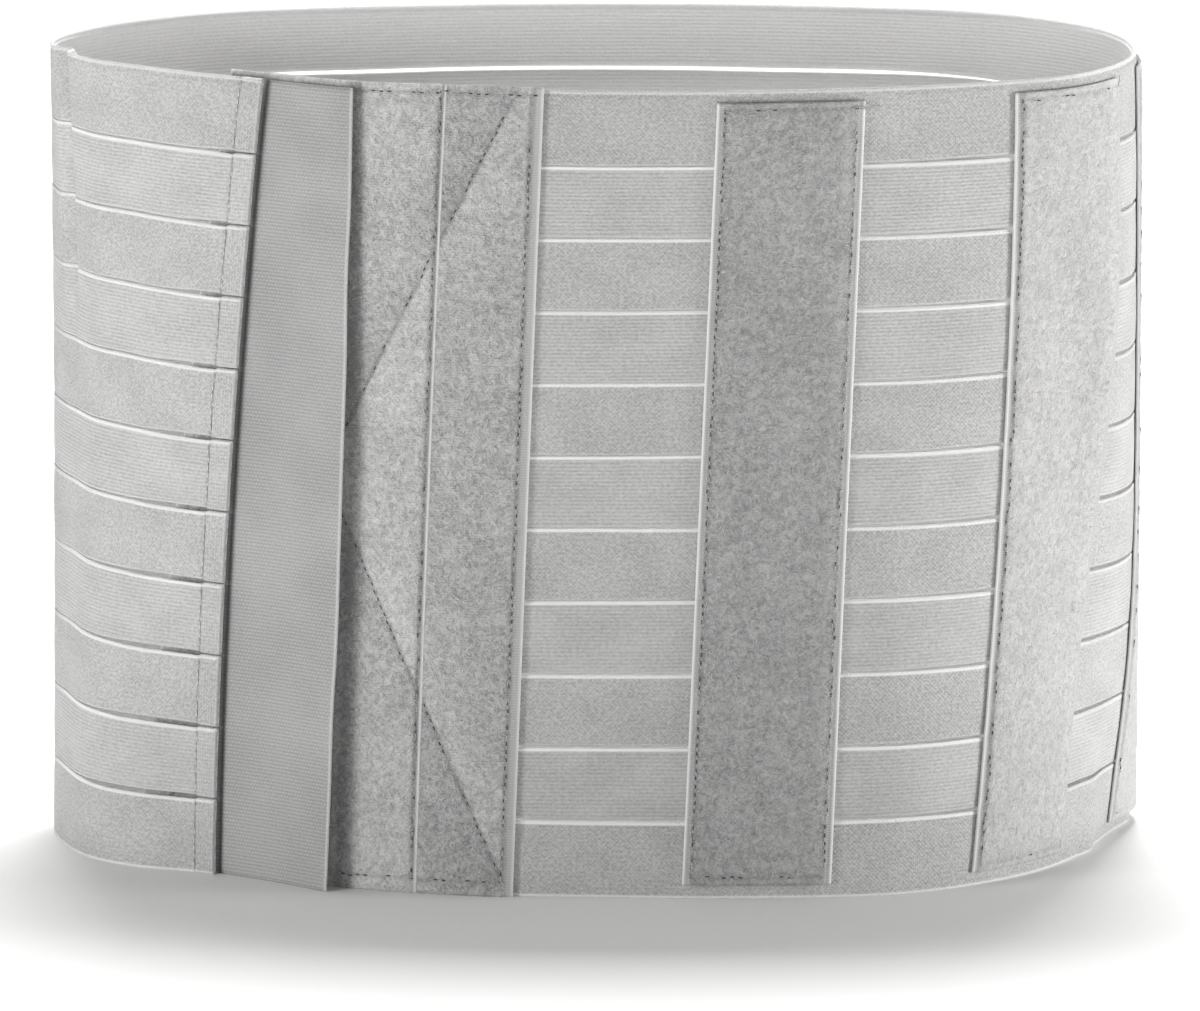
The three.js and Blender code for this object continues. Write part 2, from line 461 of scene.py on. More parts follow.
    def wide_tape_right(self, z: Values) -> Values:
        """Returns the arc of the wide tape's right edge."""
        return self.panel_right(z) - self.edge_tape_width + self.tape_overlap

    def panel_left(self, z: Values) -> Values:
        """Returns the arc of the loop panel's left edge."""
        return self.edge(self.panel_left_edge, z)

    def hem(self, z: Values) -> Values:
        """Returns the arc of the closing end's fold."""
        return self.edge(self.hem_edge, z)

    def closing_out(self, arc: Values, z: Values) -> Values:
        """Gives how far the closing end stands off the ring.

        Args:
            arc: Arcs, measured backwards from the front middle.
            z: Heights.

        Returns:
            Distances out of the elastic's outer face.
        """
        ramp_end = self.panel_left(z) - self.panel_end_clearance
        return self.layers.closing * smooth((arc - ramp_end) / self.ramp_length + 1)

    def strip_levels(self) -> list[tuple[float, float]]:
        """Works out where the strips lie.

        Returns:
            The low and the high edge of each strip, from the top strip down.
        """
        levels = []
        z = 0.0
        for strip in range(self.strip_count):
            edge = strip in (0, self.strip_count - 1)
            tall = self.edge_strip_height if edge else self.strip_height
            levels.append((z, z + tall))
            z += tall + self.slit
        return levels[::-1]

    def slits(self) -> list[float]:
        """Returns the middle height of each slit."""
        return [low - self.slit / 2 for low, _ in self.strip_levels()[:-1]]

    def seat_on(self, low: Vector, high: Vector) -> None:
        """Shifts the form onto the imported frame.

        Args:
            low: Lowest corner of the first loop patch in the frame.
            high: Highest corner of the top strip in the frame.
        """
        z = np.array([self.patch_foot_margin, self.height - self.patch_top_margin])
        left = self.edge(self.patch_edges[0], z)
        patch = self.place(left, z, np.full(2, self.layers.gap))
        outer = self.place(left, z, np.full(2, self.layers.gap + self.layers.loop_wall))
        patch_left = min(patch[:, 0].min(), outer[:, 0].min())
        top = np.array([self.height - self.edge_strip_height, self.height])
        back = self.place(self.arcs[:, None], top[None, :], np.zeros((1, 1)))[..., 1].max()
        self.shift = Vector((low.x - patch_left, high.y - back, 0))


class Unevenness:
    """Soft random relief, from a seeded lattice of heights."""

    def __init__(self, seed: int, size: int = 97) -> None:
        """Fills the lattice."""
        self.size = size
        self.heights = np.random.default_rng(seed).uniform(-1, 1, (size, size))

    def at(self, along: Values, across: Values, cell: tuple[float, float]) -> Values:
        """Reads the relief.

        Args:
            along: First coordinates.
            across: Second coordinates.
            cell: Size of a lattice cell in both directions.

        Returns:
            Heights between -1 and 1.
        """
        u, v = along / cell[0], across / cell[1]
        i, j = np.floor(u).astype(int), np.floor(v).astype(int)
        s, t = smooth(u - i), smooth(v - j)

        def pick(column: Values, row: Values) -> Values:
            """Returns the lattice's heights, which repeat."""
            return self.heights[column % self.size, row % self.size]

        low = pick(i, j) * (1 - s) + pick(i + 1, j) * s
        high = pick(i, j + 1) * (1 - s) + pick(i + 1, j + 1) * s
        return low * (1 - t) + high * t


class Signal:
    """A number that varies over a surface; arithmetic on it adds Math nodes."""

    def __init__(self, board: "Board", socket: bpy.types.NodeSocket) -> None:
        """Holds a socket of the board."""
        self.board = board
        self.socket = socket

    def _math(self, operation: str, *terms: "Signal | float") -> "Signal":
        """Adds one Math node.

        Args:
            operation: What it works out.
            terms: Its inputs; none stands for this signal alone.

        Returns:
            Its result.
        """
        inputs = dict(enumerate(terms or (self,)))
        made = self.board.node("ShaderNodeMath", {"operation": operation}, inputs)
        return Signal(self.board, made.outputs[0])

    def __add__(self, other: "Signal | float") -> "Signal":
        """Returns the sum."""
        return self._math("ADD", self, other)

    def __sub__(self, other: "Signal | float") -> "Signal":
        """Returns the difference."""
        return self._math("SUBTRACT", self, other)

    def __mul__(self, other: "Signal | float") -> "Signal":
        """Returns the product."""
        return self._math("MULTIPLY", self, other)

    def __truediv__(self, other: "Signal | float") -> "Signal":
        """Returns the quotient."""
        return self._math("DIVIDE", self, other)

    def __rsub__(self, other: float) -> "Signal":
        """Returns a number less this."""
        return self._math("SUBTRACT", other, self)

    __radd__ = __add__
    __rmul__ = __mul__

    def wave(self) -> "Signal":
        """Returns a wave between 0 and 1 with one turn for each unit."""
        return (self * math.tau)._math("SINE") * 0.5 + 0.5

    def power(self, exponent: float) -> "Signal":
        """Returns this to a power."""
        return self._math("POWER", self, exponent)

    def above(self, low: float, high: float) -> "Signal":
        """Adds a smooth rise.

        Args:
            low: Where it starts, at 0.
            high: Where it ends, at 1.

        Returns:
            The risen signal.
        """
        settings = {"interpolation_type": "SMOOTHSTEP"}
        inputs = {"Value": self, "From Min": low, "From Max": high}
        made = self.board.node("ShaderNodeMapRange", settings, inputs)
        return Signal(self.board, made.outputs["Result"])

    def outer(self) -> "Signal":
        """Returns 1 where a side of the cloth is its outer face, and 0 on its inner face."""
        return self.above(*FACE_TURN)

    def floor(self) -> "Signal":
        """Returns the whole number below."""
        return self._math("FLOOR", self)

    def ridge(self, centre: float, width: float) -> "Signal":
        """Returns 1 at a centre value, falling to 0 at a width to both sides of it."""
        return 1 - (self - centre)._math("ABSOLUTE").above(0, width)


class Board:
    """The node tree of one material, with one method that adds any node."""

    gloss: float = 0.25
    sheen_roughness: float = 0.6

    def __init__(self, name: str) -> None:
        """Starts an empty material."""
        self.material = bpy.data.materials.new(name)
        self.material.use_nodes = True
        self.tree = self.material.node_tree
        self.tree.nodes.clear()

    def node(
        self,
        kind: str,
        settings: dict[str, Any] | None = None,
        inputs: dict[Any, Any] | None = None,
    ) -> bpy.types.Node:
        """Adds a node.

        Args:
            kind: The node's type.
            settings: Its properties, which are set first.
            inputs: Values or links of its sockets.

        Returns:
            The node.
        """
        made = self.tree.nodes.new(kind)
        for key, value in (settings or {}).items():
            setattr(made, key, value)
        for key, value in (inputs or {}).items():
            if isinstance(value, Signal):
                self.tree.links.new(value.socket, made.inputs[key])
            elif isinstance(value, bpy.types.NodeSocket):
                self.tree.links.new(value, made.inputs[key])
            else:
                made.inputs[key].default_value = value
        return made

    def attribute(self, name: str) -> bpy.types.Node:
        """Returns the node of a mesh attribute."""
        return self.node("ShaderNodeAttribute", {"attribute_name": name})

    def cloth(self) -> tuple[Signal, Signal, Signal]:
        """Reads the place on the cloth.

        Returns:
            The arc, the height and the side of the cloth at a point.
        """
        split = self.node("ShaderNodeSeparateXYZ", {}, {0: self.attribute(CLOTH).outputs["Vector"]})
        arc, height, side = (Signal(self, split.outputs[k]) for k in range(3))
        return arc, height, side

    def mask(self, name: str) -> Signal:
        """Returns a mesh attribute as a number."""
        return Signal(self, self.attribute(name).outputs["Fac"])

    def noise(self, scale: tuple[float, float], detail: float = 2, twist: float = 0) -> Signal:
        """Adds a noise over the cloth.

        Args:
            scale: Features for each metre along the arc and up the height.
            detail: Octaves.
            twist: Distortion.

        Returns:
            The noise, about 0.5.
        """
        vector = self.node(
            "ShaderNodeVectorMath",
            {"operation": "MULTIPLY"},
            {0: self.attribute(CLOTH).outputs["Vector"], 1: (scale[0], scale[1], 3.0)},
        )
        inputs = {"Vector": vector.outputs[0], "Scale": 1.0, "Detail": detail, "Distortion": twist}
        made = self.node("ShaderNodeTexNoise", {}, inputs)
        return Signal(self, made.outputs["Fac"])

    def blend(self, factor: Signal, low: Any, high: Any) -> bpy.types.NodeSocket:
        """Mixes two colours.

        Args:
            factor: 0 for low, 1 for high.
            low: Colour or colour socket.
            high: Colour or colour socket.

        Returns:
            The mixed colour's socket.
        """
        made = self.node("ShaderNodeMix", {"data_type": "RGBA"}, {0: factor, 6: low, 7: high})
        return made.outputs[2]

    def finish(
        self, colour: Any, rough: Any, height: Signal, depth: float, sheen: float
    ) -> bpy.types.Material:
        """Closes the tree with a cloth shader.

        Args:
            colour: Base colour or its socket.
            rough: Roughness or its signal.
            height: Relief between 0 and 1.
            depth: Size of that relief.
            sheen: Weight of the cloth's sheen.

        Returns:
            The material.
        """
        relief = {"Strength": 1.0, "Distance": depth, "Height": height}
        bump = self.node("ShaderNodeBump", {}, relief)
        inputs = {
            "Base Color": colour,
            "Roughness": rough,
            "Specular IOR Level": self.gloss,
            "Sheen Weight": sheen,
            "Sheen Roughness": self.sheen_roughness,
            "Normal": bump.outputs[0],
        }
        shader = self.node("ShaderNodeBsdfPrincipled", {}, inputs)
        self.node("ShaderNodeOutputMaterial", {}, {"Surface": shader.outputs[0]})
        return self.material


class Weave(Enum):
    """How the face of an elastic strip is woven."""

    RIBBED = "ribbed"
    GRAINED = "grained"


@dataclass(frozen=True)
class WeaveDepth:
    """How strongly the yarn and the grain of a weave show in its shade."""

    yarn: float
    grain: float


WEAVE_DEPTHS: dict[Weave, WeaveDepth] = {
    Weave.RIBBED: WeaveDepth(0.2, 0.24),
    Weave.GRAINED: WeaveDepth(0.28, 0.34),
}


@dataclass(frozen=True)
class ElasticFinish:
    """Woven elastic: fine ribs along the strip with knit columns across them."""

    weave: Weave
    light: float = 0.69
    dark: float = 0.27
    # Tone of the pale selvedge, which also carries the painted highlight along the strips' edges.
    selvedge: float = 0.83
    # Tones of the inner face, painted lighter: painted light standing in for light inside the ring.
    inside: float = 0.97
    inside_dark: float = 0.84
    rib_pitch: float = 1.3 * MM
    rib_wander: float = 0.5
    wander_scale: tuple[float, float] = (25, 60)
    knit_pitch: float = 1.63 * MM
    knit_share: float = 0.18
    grain_pitch: float = 1.5 * MM
    rib_in_grain: float = 0.15
    grain_scale: tuple[float, float] = (800, 1100)
    mottle_scale: tuple[float, float] = (45, 60)
    mottle_share: float = 0.12
    middle_shade: float = 0.4
    relief: float = 0.24 * MM
    yarn_relief: float = 2.5
    grain_relief: float = 0.35
    hem_width: float = HEM_WIDTH
    hem_rib_pitch: float = 1.1 * MM
    hem_rib_shade: float = 0.12
    hem_rib_relief: float = 0.6
    hem_shade: float = 0.06
    hem_turn: tuple[float, float] = (-0.6 * MM, 0.2 * MM)
    # Painted shade in the groove of the hem's stitch line: its width, darkening and dip.
    stitch_width: float = 0.5 * MM
    stitch_shade: float = 0.3
    stitch_relief: float = 0.8
    roughness: float = 0.85
    sheen: float = 0.05

    def _yarn(self, board: Board) -> Signal:
        """Works out the relief of the weave.

        Args:
            board: The material's board.

        Returns:
            The height of the yarn, about between 0 and 1.
        """
        arc, height, side = board.cloth()
        row = height / self.rib_pitch + board.noise(self.wander_scale) * self.rib_wander
        rib = row.wave()
        knit = (arc / self.knit_pitch + row.floor() * HALF_STEP).wave()
        ribbed = rib * (1 - self.knit_share) + rib * knit * self.knit_share
        if self.weave is Weave.RIBBED:
            return ribbed
        rise = (arc + height) / self.grain_pitch
        fall = (arc - height) / self.grain_pitch
        grained = rise.wave() * fall.wave() * (1 - 2 * self.rib_in_grain)
        grained = grained + rib * self.rib_in_grain + knit * self.rib_in_grain
        outer = side.outer()
        return grained * outer + ribbed * (1 - outer)

    def material(self) -> bpy.types.Material:
        """Makes the material of this weave.

        Returns:
            The material.
        """
        board = Board(f"elastic_{self.weave.value}")
        _, _, side = board.cloth()
        yarn = self._yarn(board)
        grain = board.noise(self.grain_scale, detail=3, twist=0.5).above(0.32, 0.68)
        mottle = board.noise(self.mottle_scale, detail=3).above(*MOTTLE_RANGE)
        fold = board.mask(SEAM)
        in_hem = 1 - fold.above(*(self.hem_width + reach for reach in self.hem_turn))
        hem_ribs = (fold / self.hem_rib_pitch).wave() * in_hem
        stitch_line = fold.ridge(self.hem_width, self.stitch_width)
        depth = WEAVE_DEPTHS[self.weave]
        relief = yarn * (depth.yarn * self.yarn_relief) + grain * self.grain_relief
        relief = relief + hem_ribs * self.hem_rib_relief - stitch_line * self.stitch_relief
        shade = yarn * depth.yarn + grain * depth.grain + mottle * self.mottle_share
        shade = shade - in_hem * self.hem_shade
        shade = shade + (self.middle_shade - (depth.yarn + depth.grain) / 2)
        # Painted shade along the hem's stitch line.
        shade = shade + hem_ribs * self.hem_rib_shade - stitch_line * self.stitch_shade
        face = board.blend(shade, grey(self.dark), grey(self.light))
        # Inner face painted lighter, as painted light for the inside of the ring.
        lit_lining = board.blend(shade, grey(self.inside * self.inside_dark), grey(self.inside))
        cloth = board.blend(side.outer(), lit_lining, face)
        # Paler selvedge with the painted highlight of the edges, by the edge attribute.
        colour = board.blend(board.mask(EDGE), cloth, grey(self.selvedge))
        return board.finish(colour, self.roughness, relief, self.relief, self.sheen)


@dataclass(frozen=True)
class PileFinish:
    """Brushed loop pile between woven selvedges."""

    name: str = "loop_pile"
    light: float = 0.53
    dark: float = 0.18
    woven: float = 0.46
    woven_dark: float = 0.85
    selvedge: float = 0.72
    # Painted shade where the seams draw the pile in: its tone and how much of it.
    painted_shade: float = 0.12
    painted_shade_share: float = 0.8
    wide_scale: tuple[float, float] = (330, 330)
    narrow_scale: tuple[float, float] = (620, 620)
    tuft_scale: tuple[float, float] = (380, 380)
    mottle_scale: tuple[float, float] = (50, 40)
    strand_share: float = 0.6
    curl_shade: float = 0.75
    mottle_shade: float = 0.12
    nap_and_light_shade: float = 0.2
    least_shade: float = 0.05
    thread_pitch: float = 0.9 * MM
    thread_relief: float = 0.1
    relief: float = 0.42 * MM
    roughness: float = 0.95
    sheen: float = 0.15

    def material(self) -> bpy.types.Material:
        """Makes the material.

        Returns:
            The material.
        """
        board = Board(self.name)
        _, height, side = board.cloth()
        wide = board.noise(self.wide_scale, detail=1, twist=1.8).ridge(0.5, 0.16)
        narrow = board.noise(self.narrow_scale, detail=1, twist=1.4).ridge(0.5, 0.2)
        strands = wide * 0.5 + narrow * 0.5
        tufts = board.noise(self.tuft_scale, detail=3, twist=0.8).above(0.28, 0.72)
        mottle = board.noise(self.mottle_scale, detail=2, twist=0.6).above(*MOTTLE_RANGE)
        pile = board.mask(PILE)
        curls = strands * self.strand_share + tufts * (1 - self.strand_share)
        shade = curls * self.curl_shade + mottle * self.mottle_shade
        # Painted light and shade from the nap attribute, with the brushed nap.
        shade = shade + board.mask(NAP_AND_LIGHT) * self.nap_and_light_shade + self.least_shade
        brushed = board.blend(shade, grey(self.dark), grey(self.light))
        thread = (height / self.thread_pitch).wave()
        woven = board.blend(thread, grey(self.woven * self.woven_dark), grey(self.woven))
        face = board.blend(pile, woven, brushed)
        backing = board.blend(side.outer(), woven, face)
        # Painted shade along the seams.
        seam_shaded = board.blend(board.mask(SEAM) * self.painted_shade_share, backing, grey(self.painted_shade))
        colour = board.blend(board.mask(EDGE), seam_shaded, grey(self.selvedge))
        relief = curls * pile + thread * self.thread_relief
        return board.finish(colour, self.roughness, relief, self.relief, self.sheen)


@dataclass(frozen=True)
class HookBackingFinish:
    """Smooth woven back of hook tape, with fine rows of binding points."""

    name: str = "hook_backing"
    light: float = 0.49
    dark: float = 0.25
    selvedge: float = 0.56
    hooks: float = 0.3
    # Tone of the painted shadow that the hem casts on the hook backing.
    painted_shade: float = 0.07
    row_pitch: float = 1.24 * MM
    row_shade: float = 0.22
    point_pitch: float = 1.4 * MM
    point_shade: float = 0.36
    grain_scale: tuple[float, float] = (1000, 1000)
    mottle_scale: tuple[float, float] = (30, 30)
    noise_shade: float = 0.2
    relief: float = 0.16 * MM
    roughness: float = 0.7
    sheen: float = 0.1

    def material(self) -> bpy.types.Material:
        """Makes the material.

        Returns:
            The material.
        """
        board = Board(self.name)
        arc, height, side = board.cloth()
        row = height / self.row_pitch
        rows = row.wave()
        points = (arc / self.point_pitch + row.floor() * HALF_STEP).wave().power(2.0)
        grain = board.noise(self.grain_scale).above(*MOTTLE_RANGE)
        mottle = board.noise(self.mottle_scale).above(*MOTTLE_RANGE)
        shade = rows * self.row_shade + points * rows * self.point_shade
        shade = shade + grain * self.noise_shade + mottle * self.noise_shade
        face = board.blend(shade, grey(self.dark), grey(self.light))
        # Painted shadow of the hem along its fold.
        shaded = board.blend(board.mask(NAP_AND_LIGHT), face, grey(self.painted_shade))
        woven = board.blend(board.mask(SEAM), shaded, grey(self.selvedge))
        colour = board.blend(side.outer(), grey(self.hooks), woven)
        relief = rows * 0.5 + points * rows * 0.5
        return board.finish(colour, self.roughness, relief, self.relief, self.sheen)


@dataclass(frozen=True)
class ThreadFinish:
    """Sewing thread, or the painted shade where a stitch dives into the cloth."""

    name: str
    tone: float
    unevenness: float = 0.2
    fibre_scale: float = 2500.0
    relief: float = 0.05 * MM
    roughness: float = 0.8
    sheen: float = 0.1

    def material(self) -> bpy.types.Material:
        """Makes the material.

        Returns:
            The material.
        """
        board = Board(self.name)
        place = board.node("ShaderNodeTexCoord").outputs["Object"]
        inputs = {"Vector": place, "Scale": self.fibre_scale}
        fibre = Signal(board, board.node("ShaderNodeTexNoise", {}, inputs).outputs["Fac"])
        dark, light = (self.tone * (1 + turn * self.unevenness) for turn in (-1, 1))
        colour = board.blend(fibre, grey(dark), grey(light))
        return board.finish(colour, self.roughness, fibre, self.relief, self.sheen)


SEWING_THREAD = ThreadFinish("sewing_thread", 0.4)
# Dark strands of painted shade between the stitches.
STITCH_SHADE = ThreadFinish("stitch_painted_shade", 0.06)
PALE_THREAD = ThreadFinish("pale_thread", 0.75)
FIBRE = ThreadFinish("fibre", 0.7)


@dataclass(frozen=True)
class SectionLoop:
    """The closed line round a sheet's section: outer face first, then the inner face back."""

    across: Values
    side: Values

    @classmethod
    def around(
        cls, width: float, radius: float, face: Values, back: Values, rounding: int = 3
    ) -> "SectionLoop":
        """Makes the loop of a flat sheet with round edges.

        Args:
            width: The sheet's width.
            radius: How far the rounding reaches in from each edge.
            face: Rising places of the outer face's points between the roundings.
            back: Rising places of the inner face's points.
            rounding: Spans of each quarter of an edge.

        Returns:
            The loop, whose last point is its first.
        """
        angle = np.linspace(0, math.pi / 2, rounding + 1)
        rise, lift = radius * (1 - np.cos(angle)), np.sin(angle)
        back = back[::-1]
        across = [rise, face, width - rise[::-1], (width - rise)[1:], back, rise[::-1]]
        side = [lift, np.ones(len(face)), lift[::-1], -lift[1:], -np.ones(len(back)), -lift[::-1]]
        return cls(np.concatenate(across), np.concatenate(side))

    @staticmethod
    def even(width: float, radius: float, spans: int) -> Values:
        """Returns evenly spaced places between the roundings of a sheet."""
        return np.linspace(radius, width - radius, spans + 1)[1:-1]


class Cloth:
    """Turns rings of points into a closed, smooth sheet of cloth."""

    @staticmethod
    def sheet(
        name: str,
        points: Values,
        attributes: dict[str, Values],
        material: bpy.types.Material,
    ) -> bpy.types.Object:
        """Makes the sheet.

        Args:
            name: The piece's name.
            points: Points by station and place round the section, which closes on itself.
            attributes: Numbers or vectors for each point, by name.
            material: Its finish.

        Returns:
            The object, at the origin.
        """
        stations, around = points.shape[:2]
        mesh = bpy.data.meshes.new(name)
        grid = bmesh.new()
        bmesh.ops.create_grid(grid, x_segments=around - 1, y_segments=stations - 1, size=1.0)
        grid.to_mesh(mesh)
        grid.free()
        mesh.vertices.foreach_set("co", points.astype(np.float32).ravel())
        for key, values in attributes.items():
            kind, part = ("FLOAT_VECTOR", "vector") if values.ndim == 3 else ("FLOAT", "value")
            layer = mesh.attributes.new(key, kind, "POINT")
            layer.data.foreach_set(part, values.astype(np.float32).ravel())
        shell = bmesh.new()
        shell.from_mesh(mesh)
        bmesh.ops.remove_doubles(shell, verts=shell.verts, dist=WELD)
        ends = [edge for edge in shell.edges if edge.is_boundary]
        bmesh.ops.holes_fill(shell, edges=ends, sides=0)
        bmesh.ops.recalc_face_normals(shell, faces=shell.faces)
        for face in shell.faces:
            face.smooth = True
        shell.to_mesh(mesh)
        shell.free()
        mesh.materials.append(material)
        made = bpy.data.objects.new(name, mesh)
        bpy.context.scene.collection.objects.link(made)
        return made


@dataclass(frozen=True)
class SeamLine:
    """A line of stitches through points (arc, height) of the ring."""

    points: Values
    weight: float = 1.0
    hidden: float = 0.25

    @classmethod
    def up(
        cls,
        arc: Callable[[Values], Values],
        low: float,
        high: float,
        weight: float = 1.0,
        hidden: float = 0.25,
        turns: int = 14,
    ) -> "SeamLine":
        """Makes a seam that follows a leaning edge.

        Args:
            arc: Gives the seam's arc at heights.
            low: Height of its lower end.
            high: Height of its upper end.
            weight: How strongly it draws the pile in.
            hidden: Share of its stitches that lie under the pile.
            turns: Points along it.

        Returns:
            The seam.
        """
        z = np.linspace(low, high, turns)
        return cls(np.stack([arc(z), z], axis=1), weight, hidden)

    @classmethod
    def level(
        cls, left: float, right: float, z: float, weight: float = 1.0, hidden: float = 0.25
    ) -> "SeamLine":
        """Returns a level seam."""
        return cls(np.array([(left, z), (right, z)]), weight, hidden)

    def distance(self, arc: Values, z: Values) -> Values:
        """Gives the distance from places on the ring to the seam.

        Args:
            arc: Arcs.
            z: Heights.

        Returns:
            Distances.
        """
        nearest = np.full(np.broadcast(arc, z).shape, 1.0)
        for (a0, z0), (a1, z1) in zip(self.points[:-1], self.points[1:], strict=True):
            run, rise = a1 - a0, z1 - z0
            share = ((arc - a0) * run + (z - z0) * rise) / (run * run + rise * rise)
            share = np.clip(share, 0, 1)
            gap = np.hypot(arc - a0 - share * run, z - z0 - share * rise)
            nearest = np.minimum(nearest, gap)
        return nearest

    def steps(self, pitch: float) -> Values:
        """Walks along the seam.

        Args:
            pitch: Length of one step.

        Returns:
            Arc, height and the direction's two parts for each step.
        """
        spans = np.diff(self.points, axis=0)
        lengths = np.concatenate([[0], np.cumsum(np.linalg.norm(spans, axis=1))])
        where = np.arange(pitch / 2, lengths[-1], pitch)
        arc, z = (np.interp(where, lengths, self.points[:, k]) for k in range(2))
        span = np.clip(np.searchsorted(lengths, where) - 1, 0, len(spans) - 1)
        heading = spans[span] / np.linalg.norm(spans[span], axis=1)[:, None]
        return np.column_stack([arc, z, heading])


class Strands:
    """Many short threads, kept as the splines of one curve object."""

    def __init__(self, name: str, radius: float, materials: list[bpy.types.Material]) -> None:
        """Starts an empty curve whose splines have one radius."""
        self.data = bpy.data.curves.new(name, "CURVE")
        self.data.dimensions = "3D"
        self.data.bevel_depth = radius
        self.data.bevel_resolution = 0
        self.data.use_fill_caps = True
        for material in materials:
            self.data.materials.append(material)

    def add(self, points: Values, slot: int = 0, thick: float = 1.0) -> None:
        """Adds a thread.

        Args:
            points: Its points, in order.
            slot: Which of the materials it has.
            thick: Its radius as a share of the curve's.
        """
        spline = self.data.splines.new("POLY")
        spline.points.add(len(points) - 1)
        spline.points.foreach_set("co", np.column_stack([points, np.ones(len(points))]).ravel())
        spline.points.foreach_set("radius", np.full(len(points), thick))
        spline.material_index = slot

    def finish(self) -> bpy.types.Object:
        """Links the curve to the scene.

        Returns:
            The curve object.
        """
        made = bpy.data.objects.new(self.data.name, self.data)
        bpy.context.scene.collection.objects.link(made)
        return made


@dataclass
class Stitching:
    """Thread stitches along seams, each a short strand between dark strands of painted shade where
    it dives into the cloth.
    """

    form: RingForm
    thread: bpy.types.Material
    # Material of the dark strands of painted shade between the stitches.
    painted_shade: bpy.types.Material
    pitch: float = 2.8 * MM
    strand_share: float = 0.56
    strand_range: tuple[float, float] = (0.8, 1.05)
    strand_bends: tuple[float, ...] = (-1, -0.55, 0.55, 1)
    strand_rises: tuple[float, ...] = (-2.2, 1, 1, -2.2)
    radius: float = 0.18 * MM
    shade_strand_thick: float = 1.5
    rise: float = 0.12 * MM
    sway: float = 0.2 * MM
    seed: int = 11

    def sew(
        self,
        name: str,
        seams: list[SeamLine],
        out: Callable[[Values, Values], Values],
        shows: Callable[[float, float], bool] = lambda arc, z: True,
        ends: tuple["ThreadEnd", ...] = (),
    ) -> bpy.types.Object:
        """Makes the stitches of some seams as one piece.

        Args:
            name: The piece's name.
            seams: Its seams.
            out: Gives the distance out of the face that is sewn.
            shows: Says whether the face shows at a place.
            ends: Loose ends of its thread.

        Returns:
            The object.
        """
        random = np.random.default_rng(self.seed)
        strands = Strands(name, self.radius, [self.thread, self.painted_shade])
        for end in ends:
            end.lay(strands, self.form)
        for seam in seams:
            for arc, z, run, climb in seam.steps(self.pitch):
                if random.uniform() < seam.hidden or not shows(arc, z):
                    continue
                half = self.pitch * self.strand_share * random.uniform(*self.strand_range) / 2
                aside = random.normal(0, self.sway)
                along = np.array(self.strand_bends) * half
                lift = np.array(self.strand_rises) * self.rise
                self._thread(strands, (arc, z, run, climb), along, aside, lift, out, 0)
                # Painted shade: a dark strand in the gap where the thread dives.
                reach = self.pitch * (1 - self.strand_share)
                gap = self.pitch / 2 + np.array([-0.5, 0.5]) * reach
                self._thread(strands, (arc, z, run, climb), gap, aside, np.zeros(2), out, 1)
        return strands.finish()

    def _thread(
        self,
        strands: Strands,
        place: tuple[float, float, float, float],
        along: Values,
        aside: float,
        lift: Values,
        out: Callable[[Values, Values], Values],
        slot: int,
    ) -> None:
        """Adds one thread, or one dark strand of painted shade, along a seam.

        Args:
            strands: The curve that takes it.
            place: Arc, height and direction of the stitch's middle.
            along: Distances of its points along the seam.
            aside: How far it lies beside the seam.
            lift: Heights of its points over the sewn face.
            out: Gives the distance out of that face.
            slot: Its material.
        """
        arc = place[0] + along * place[2] - aside * place[3]
        z = place[1] + along * place[3] + aside * place[2]
        points = self.form.place(arc, z, out(arc, z) + lift)
        strands.add(points, slot, self.shade_strand_thick if slot else 1.0)


@dataclass
class Fuzz:
    """Loose fibres that stand out of the pile, most of them along its edges."""

    form: RingForm
    material: bpy.types.Material
    radius: float = 0.045 * MM
    length: tuple[float, float] = (0.9 * MM, 2.1 * MM)
    rise: float = 0.55 * MM
    border: float = 1.6 * MM
    border_share: float = 0.6
    bend: float = 1.2
    rise_range: tuple[float, float] = (0.4, 1)
    steps: tuple[float, ...] = (0, 0.35, 0.7, 1.0)
    lifts: tuple[float, ...] = (-0.2, 0.7, 1.0, 0.75)
    per_area: float = 0.14 / MM**2

    def grow(self, tape: "LoopTape", seed: int) -> bpy.types.Object:
        """Grows the fibres of one tape.

        Args:
            tape: The tape that they stand on.
            seed: Seed of their places.

        Returns:
            The object.
        """
        random = np.random.default_rng(seed)
        width, tall = tape.flat_size()
        count = int(width * tall * self.per_area)
        strands = Strands(f"{tape.name}_fuzz", self.radius, [self.material])
        z = random.uniform(tape.foot + self.border, tape.top - self.border, count)
        low, high = tape.left(z) + tape.selvedges[0], tape.right(z) - tape.selvedges[1]
        share = random.uniform(0, 1, count)
        offset = np.abs(random.normal(0, self.border, count))
        at_border = random.uniform(0, 1, count) < self.border_share
        arc = np.where(share < 0.5, low + offset, high - offset)
        arc = np.where(at_border, arc, low + share * (high - low))
        turn = random.uniform(0, math.tau, count)
        bend = random.uniform(-self.bend, self.bend, count)
        step = random.uniform(*self.length, count) / len(self.steps)
        height = random.uniform(*self.rise_range, count) * self.rise
        heading = turn + bend * np.array(self.steps)[:, None]
        along = np.cumsum(np.cos(heading) * step, axis=0)
        across = np.cumsum(np.sin(heading) * step, axis=0)
        lift = height * np.array(self.lifts)[:, None]
        arcs, levels = arc + along, np.clip(z + across, tape.foot, tape.top)
        points = self.form.place(arcs, levels, tape.out(arcs, levels) + lift)
        bare = np.full(count, True) if tape.cover is None else arc > tape.cover(z)
        for fibre in np.flatnonzero(bare):
            strands.add(points[:, fibre])
        return strands.finish()


@dataclass
class ThreadEnd:
    """A loose end of sewing thread, lying on the cloth from a place on the ring."""

    arc: float
    z: float
    out: float
    run: tuple[tuple[float, float], ...]

    def lay(self, strands: Strands, form: RingForm) -> None:
        """Adds the thread to a curve, through its run of steps in millimetres.

        Args:
            strands: The curve that takes it.
            form: The ring that it lies on.
        """
        steps = np.array(((0, 0), *self.run)) * MM
        arc, z = self.arc + steps[:, 0], self.z + steps[:, 1]
        strands.add(form.place(arc, z, np.full_like(arc, self.out)))


